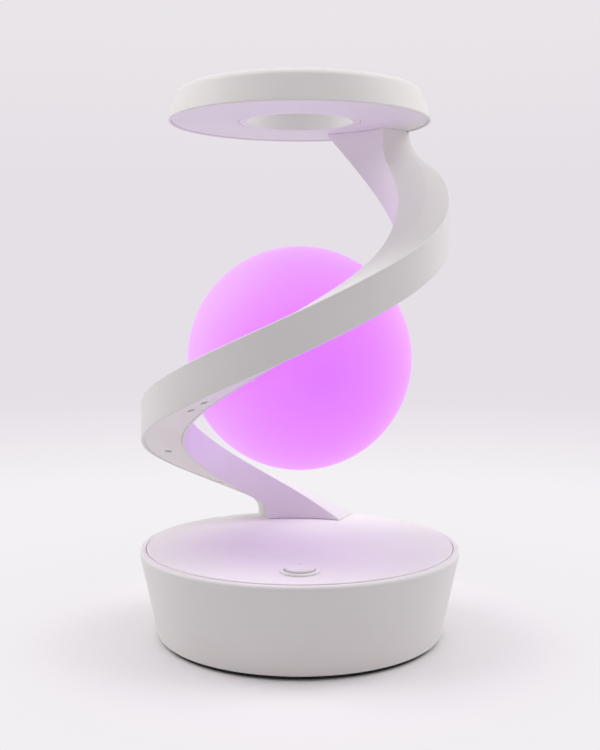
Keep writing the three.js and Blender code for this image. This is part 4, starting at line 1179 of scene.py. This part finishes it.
@dataclass
class Globe:
    """The lit globe and the collar that closes its neck, held from the arm in front."""

    radius: float = 52.2
    wall: float = 1.8
    turn: float = 244.0
    neck_radius: float = 7.2
    flange_radius: float = 7.25
    flange_height: float = 0.6
    collar_ease: float = 0.25
    plug_depth: float = 5.7
    tube_radius: float = 4.8
    tube_length: float = 7.7
    bore: float = 3.3

    def build(self, shop: Workshop) -> None:
        """Builds the globe's shell and its collar."""
        low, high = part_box("globe_shell")
        centre = Vector((0, 0, (low.z + high.z) / 2 / MM))
        towards_arm = polar(1, self.turn)
        turned = Matrix.Translation(centre * MM) @ towards_arm.to_track_quat("Z", "Y").to_matrix().to_4x4()
        neck = math.sqrt(self.radius ** 2 - self.neck_radius ** 2)
        bpy.ops.mesh.primitive_uv_sphere_add(segments=128, ring_count=64, radius=self.radius * MM)
        shell = newest("lit_globe")
        place(shell, turned)
        bpy.ops.object.mode_set(mode="EDIT")
        bpy.ops.mesh.select_all(action="SELECT")
        bpy.ops.mesh.bisect(
            plane_co=(centre + towards_arm * neck) * MM, plane_no=towards_arm, clear_outer=True)
        close_up()
        use_modifier(shell, "SOLIDIFY", thickness=self.wall * MM, offset=-1.0)
        shop.deliver(shell, "globe_glow", ["globe_shell"])
        seat = neck + SEAT_GAP
        plug_end = seat - self.plug_depth
        tube_end = plug_end - self.tube_length
        plug_radius = self.neck_radius - SEAT_GAP
        front = seat + self.flange_height
        profile = eased([
            (self.bore, tube_end), (self.tube_radius, tube_end), (self.tube_radius, plug_end),
            (plug_radius, plug_end), (plug_radius, seat), (self.flange_radius, seat),
            (self.flange_radius, front), (self.bore, front),
        ], self.collar_ease)
        collar = spun("globe_neck_ring", profile, facets=64)
        place(collar, turned)
        shop.deliver(collar, "white_trim", ["globe_collar"], sharp=CRISP)


# Head


@dataclass
class Head:
    """The ring head: tapered shell with a rounded top edge, hole ring and flat diffuser in a thin lip."""

    radius: float = 60.1
    top_radius: float = 55.4
    underside: float = 238.5
    height: float = 14.5
    round: float = 4.5
    lip_round: float = 0.8
    lip_width: float = 1.4
    wall: float = 2.2
    hole_radius: float = 24.5
    ring_wall: float = 1.6
    flange: float = 3.5
    flange_thickness: float = 1.2
    diffuser_recess: float = 0.6
    diffuser_thickness: float = 2.0
    diffuser_gap: float = 0.12
    diffuser_ease: float = 0.12
    ring_gap: float = 0.14
    ring_ease: float = 0.4
    lip_edge: float = 0.2
    hole_edge: float = 0.3
    hole_corner: float = 0.08
    corner_wall_share: float = 1.5

    def side_radius(self, height: float) -> float:
        """Returns the outer radius of the head's tapered side at a height."""
        return lerp(self.radius, self.top_radius, (height - self.underside) / self.height)

    def build(self, shop: Workshop) -> None:
        """Turns the shell, the hole ring and the diffuser."""
        top = self.underside + self.height
        ceiling = top - self.wall
        diffuser_low = self.underside + self.diffuser_recess
        diffuser_high = diffuser_low + self.diffuser_thickness
        seat = diffuser_high + SEAT_GAP
        lean = math.degrees(math.atan2(self.radius - self.top_radius, self.height))
        round_centre = self.top_radius - self.round * math.tan(math.radians((90 - lean) / 2))
        lip_inner = self.radius - self.lip_width
        ring_outer = self.hole_radius + self.ring_wall
        shell_inner = ring_outer + SEAT_GAP
        shell = [
            (lip_inner, self.underside + self.lip_edge), (lip_inner + self.lip_edge, self.underside),
            *arc(self.radius - self.lip_round, self.underside + self.lip_round, self.lip_round, -90, 0, 8),
            *arc(round_centre, top - self.round, self.round, lean, 90, 14),
            (shell_inner + self.hole_edge, top),
            (shell_inner + self.hole_corner, top - self.hole_corner), (shell_inner, top - self.hole_edge),
            (shell_inner, ceiling),
            (self.side_radius(ceiling) - self.corner_wall_share * self.wall, ceiling),
            (self.side_radius(seat) - self.wall, seat), (lip_inner, seat),
        ]
        shop.deliver(spun("head_ring_shell", shell), "white_shell", ["head_shell"])
        flange_radius = self.hole_radius + self.flange
        flange_high = diffuser_low + self.flange_thickness
        ring = eased([
            (self.hole_radius, diffuser_low), (flange_radius, diffuser_low), (flange_radius, flange_high),
            (ring_outer, flange_high), (ring_outer, top), (self.hole_radius, top),
        ], self.ring_ease)
        shop.deliver(spun("head_hole_ring", ring), "white_trim", ["head_inner_ring"])
        inner, outer = flange_radius + self.ring_gap, lip_inner - self.diffuser_gap
        sheet = eased(block(inner, outer, diffuser_low, diffuser_high), self.diffuser_ease)
        shop.deliver(spun("head_diffuser_sheet", sheet), "milky_diffuser", ["head_diffuser"])


# Studio


def set_up(name: str, data: bpy.types.ID, location: Sequence[float], rotation: Sequence[float]) -> Piece:
    """Puts a camera or a light in the scene.

    Args:
        name: The object's name.
        data: The camera or the light.
        location: Its place in metres.
        rotation: Its Euler angles in radians.

    Returns:
        The object.
    """
    holder = bpy.data.objects.new(name, data)
    holder.location = location
    holder.rotation_euler = rotation
    bpy.context.scene.collection.objects.link(holder)
    return holder


@dataclass(frozen=True)
class Softbox:
    """A square soft light that faces the lamp."""

    name: str
    place: tuple[float, float, float]
    size: float
    power: float

    def build(self, target: Vector) -> None:
        """Adds the light and turns it to the target, both in metres."""
        light = bpy.data.lights.new(self.name, "AREA")
        light.shape = "SQUARE"
        light.size = self.size
        light.energy = self.power
        direction = target - Vector(self.place)
        set_up(self.name, light, self.place, direction.to_track_quat("-Z", "Y").to_euler())


@dataclass
class Studio:
    """Camera at the photograph's angle, plain pale floor and backdrop, and soft lights."""

    lens: float = 51.206
    camera_place: tuple[float, float, float] = (0.000166, -0.49878, 0.16210)
    camera_pitch: float = 85.458
    paper: str = "#EEEAED"
    far_floor: tuple[tuple[float, str], ...] = ((0.0, "#F0EBEF"), (0.2, "#F3F1F4"), (0.33, "#F3F1F4"),
                                                (0.56, "#ECE7EC"), (0.8, "#E6E1E7"), (1.0, "#E5E0E6"))
    far_floor_reach: float = 1.3
    backdrop: tuple[tuple[float, str], ...] = ((0.1, "#E5E0E6"), (0.26, "#EAE6E9"))
    ambient_strength: float = 0.3
    aim: tuple[float, float, float] = (0.0, 0.0, 0.13)
    floor_size: float = 12.0
    near: float = 0.068
    far: float = 0.145
    far_floor_light: float = 0.85
    lights: tuple[Softbox, ...] = (
        Softbox("left_high_softbox", (-2.0, 0.3, 2.4), 2.0, 36.0),
        Softbox("right_high_softbox", (2.0, 0.3, 2.4), 2.0, 35.5),
        Softbox("overhead_softbox", (0.0, -0.2, 3.0), 2.0, 20.0),
        Softbox("back_softbox", (0.0, 3.0, 1.8), 2.4, 7.5),
        Softbox("left_rear_fill", (-2.4, 1.4, 0.9), 1.8, 10.5),
        Softbox("right_rear_fill", (2.4, 1.4, 0.9), 1.8, 13.0),
    )

    def add_camera(self) -> None:
        """Adds the camera and makes it the scene's."""
        camera = bpy.data.cameras.new("photo_camera")
        camera.lens = self.lens
        camera.sensor_width = 36.0
        camera.clip_start = 0.01
        camera.clip_end = 100.0
        rotation = (math.radians(self.camera_pitch), 0, 0)
        bpy.context.scene.camera = set_up("photo_camera", camera, self.camera_place, rotation)

    @staticmethod
    def shown_share(tree: Tree) -> Socket:
        """Returns a socket that is 1 for what the camera, gloss and glass see, and 0 for what lights."""
        path = add_node(tree, "ShaderNodeLightPath")
        shown = path.outputs["Is Camera Ray"]
        for ray in ("Is Glossy Ray", "Is Transmission Ray"):
            larger = add_node(tree, "ShaderNodeMath", {"operation": "MAXIMUM"},
                              {0: shown, 1: path.outputs[ray]})
            shown = larger.outputs["Value"]
        return shown

    def add_floor(self) -> None:
        """Adds the floor: it takes shadows near the lamp and turns into the even backdrop further off."""
        bpy.ops.mesh.primitive_plane_add(size=self.floor_size)
        floor = newest("studio_floor")
        material = bpy.data.materials.new("matt_paper_floor")
        tree = blank_tree(material)
        coordinates = add_node(tree, "ShaderNodeTexCoord")
        distance = add_node(tree, "ShaderNodeVectorMath", {"operation": "LENGTH"},
                            {0: coordinates.outputs["Object"]})
        reach = add_node(tree, "ShaderNodeMapRange", {"From Max": self.far_floor_reach},
                         {"Value": distance.outputs["Value"]})
        tint = add_node(tree, "ShaderNodeValToRGB", {"stops": self.far_floor},
                        {"Fac": reach.outputs["Result"]})
        paper = add_node(tree, "ShaderNodeBsdfDiffuse", {"Color": linear_colour(self.paper)})
        strength = add_node(tree, "ShaderNodeMapRange", {"To Min": self.far_floor_light},
                            {"Value": self.shown_share(tree)})
        even = add_node(tree, "ShaderNodeEmission", links={
            "Color": tint.outputs["Color"], "Strength": strength.outputs["Result"]})
        share = add_node(tree, "ShaderNodeMapRange", {
            "From Min": self.near, "From Max": self.far, "interpolation_type": "SMOOTHSTEP",
        }, {"Value": distance.outputs["Value"]})
        blend = add_node(tree, "ShaderNodeMixShader", links={
            0: share.outputs["Result"], 1: paper.outputs["BSDF"], 2: even.outputs["Emission"]})
        add_node(tree, "ShaderNodeOutputMaterial", links={"Surface": blend.outputs["Shader"]})
        floor.data.materials.append(material)

    def add_world(self) -> None:
        """Lights the scene a little from all round, and shows the backdrop to camera, gloss and glass."""
        world = bpy.data.worlds.new("studio_world")
        tree = blank_tree(world)
        direction = add_node(tree, "ShaderNodeTexCoord")
        axes = add_node(tree, "ShaderNodeSeparateXYZ", links={"Vector": direction.outputs["Generated"]})
        tint = add_node(tree, "ShaderNodeValToRGB", {"stops": self.backdrop}, {"Fac": axes.outputs["Z"]})
        white = linear_colour("#FFFFFF")
        ambient = add_node(tree, "ShaderNodeBackground", {"Color": white, "Strength": self.ambient_strength})
        backdrop = add_node(tree, "ShaderNodeBackground", {"Strength": 1.0},
                            {"Color": tint.outputs["Color"]})
        blend = add_node(tree, "ShaderNodeMixShader", links={
            0: self.shown_share(tree), 1: ambient.outputs["Background"], 2: backdrop.outputs["Background"]})
        add_node(tree, "ShaderNodeOutputWorld", links={"Surface": blend.outputs["Shader"]})
        bpy.context.scene.world = world

    def build(self) -> None:
        """Builds the floor, the world and the lights, and sets the plain view."""
        self.add_floor()
        self.add_world()
        for light in self.lights:
            light.build(Vector(self.aim))
        bpy.context.scene.view_settings.view_transform = "Standard"


def main() -> None:
    """Builds the camera, the lamp's sub-assemblies and the studio, in that order."""
    logging.basicConfig(level=logging.INFO, format="%(message)s")
    studio = Studio()
    studio.add_camera()
    shop = Workshop(Finishes())
    for assembly in (Base(), Arm(), Globe(), Head()):
        assembly.build(shop)
    shop.dress_nodes()
    studio.build()


if __name__ == "__main__":
    main()
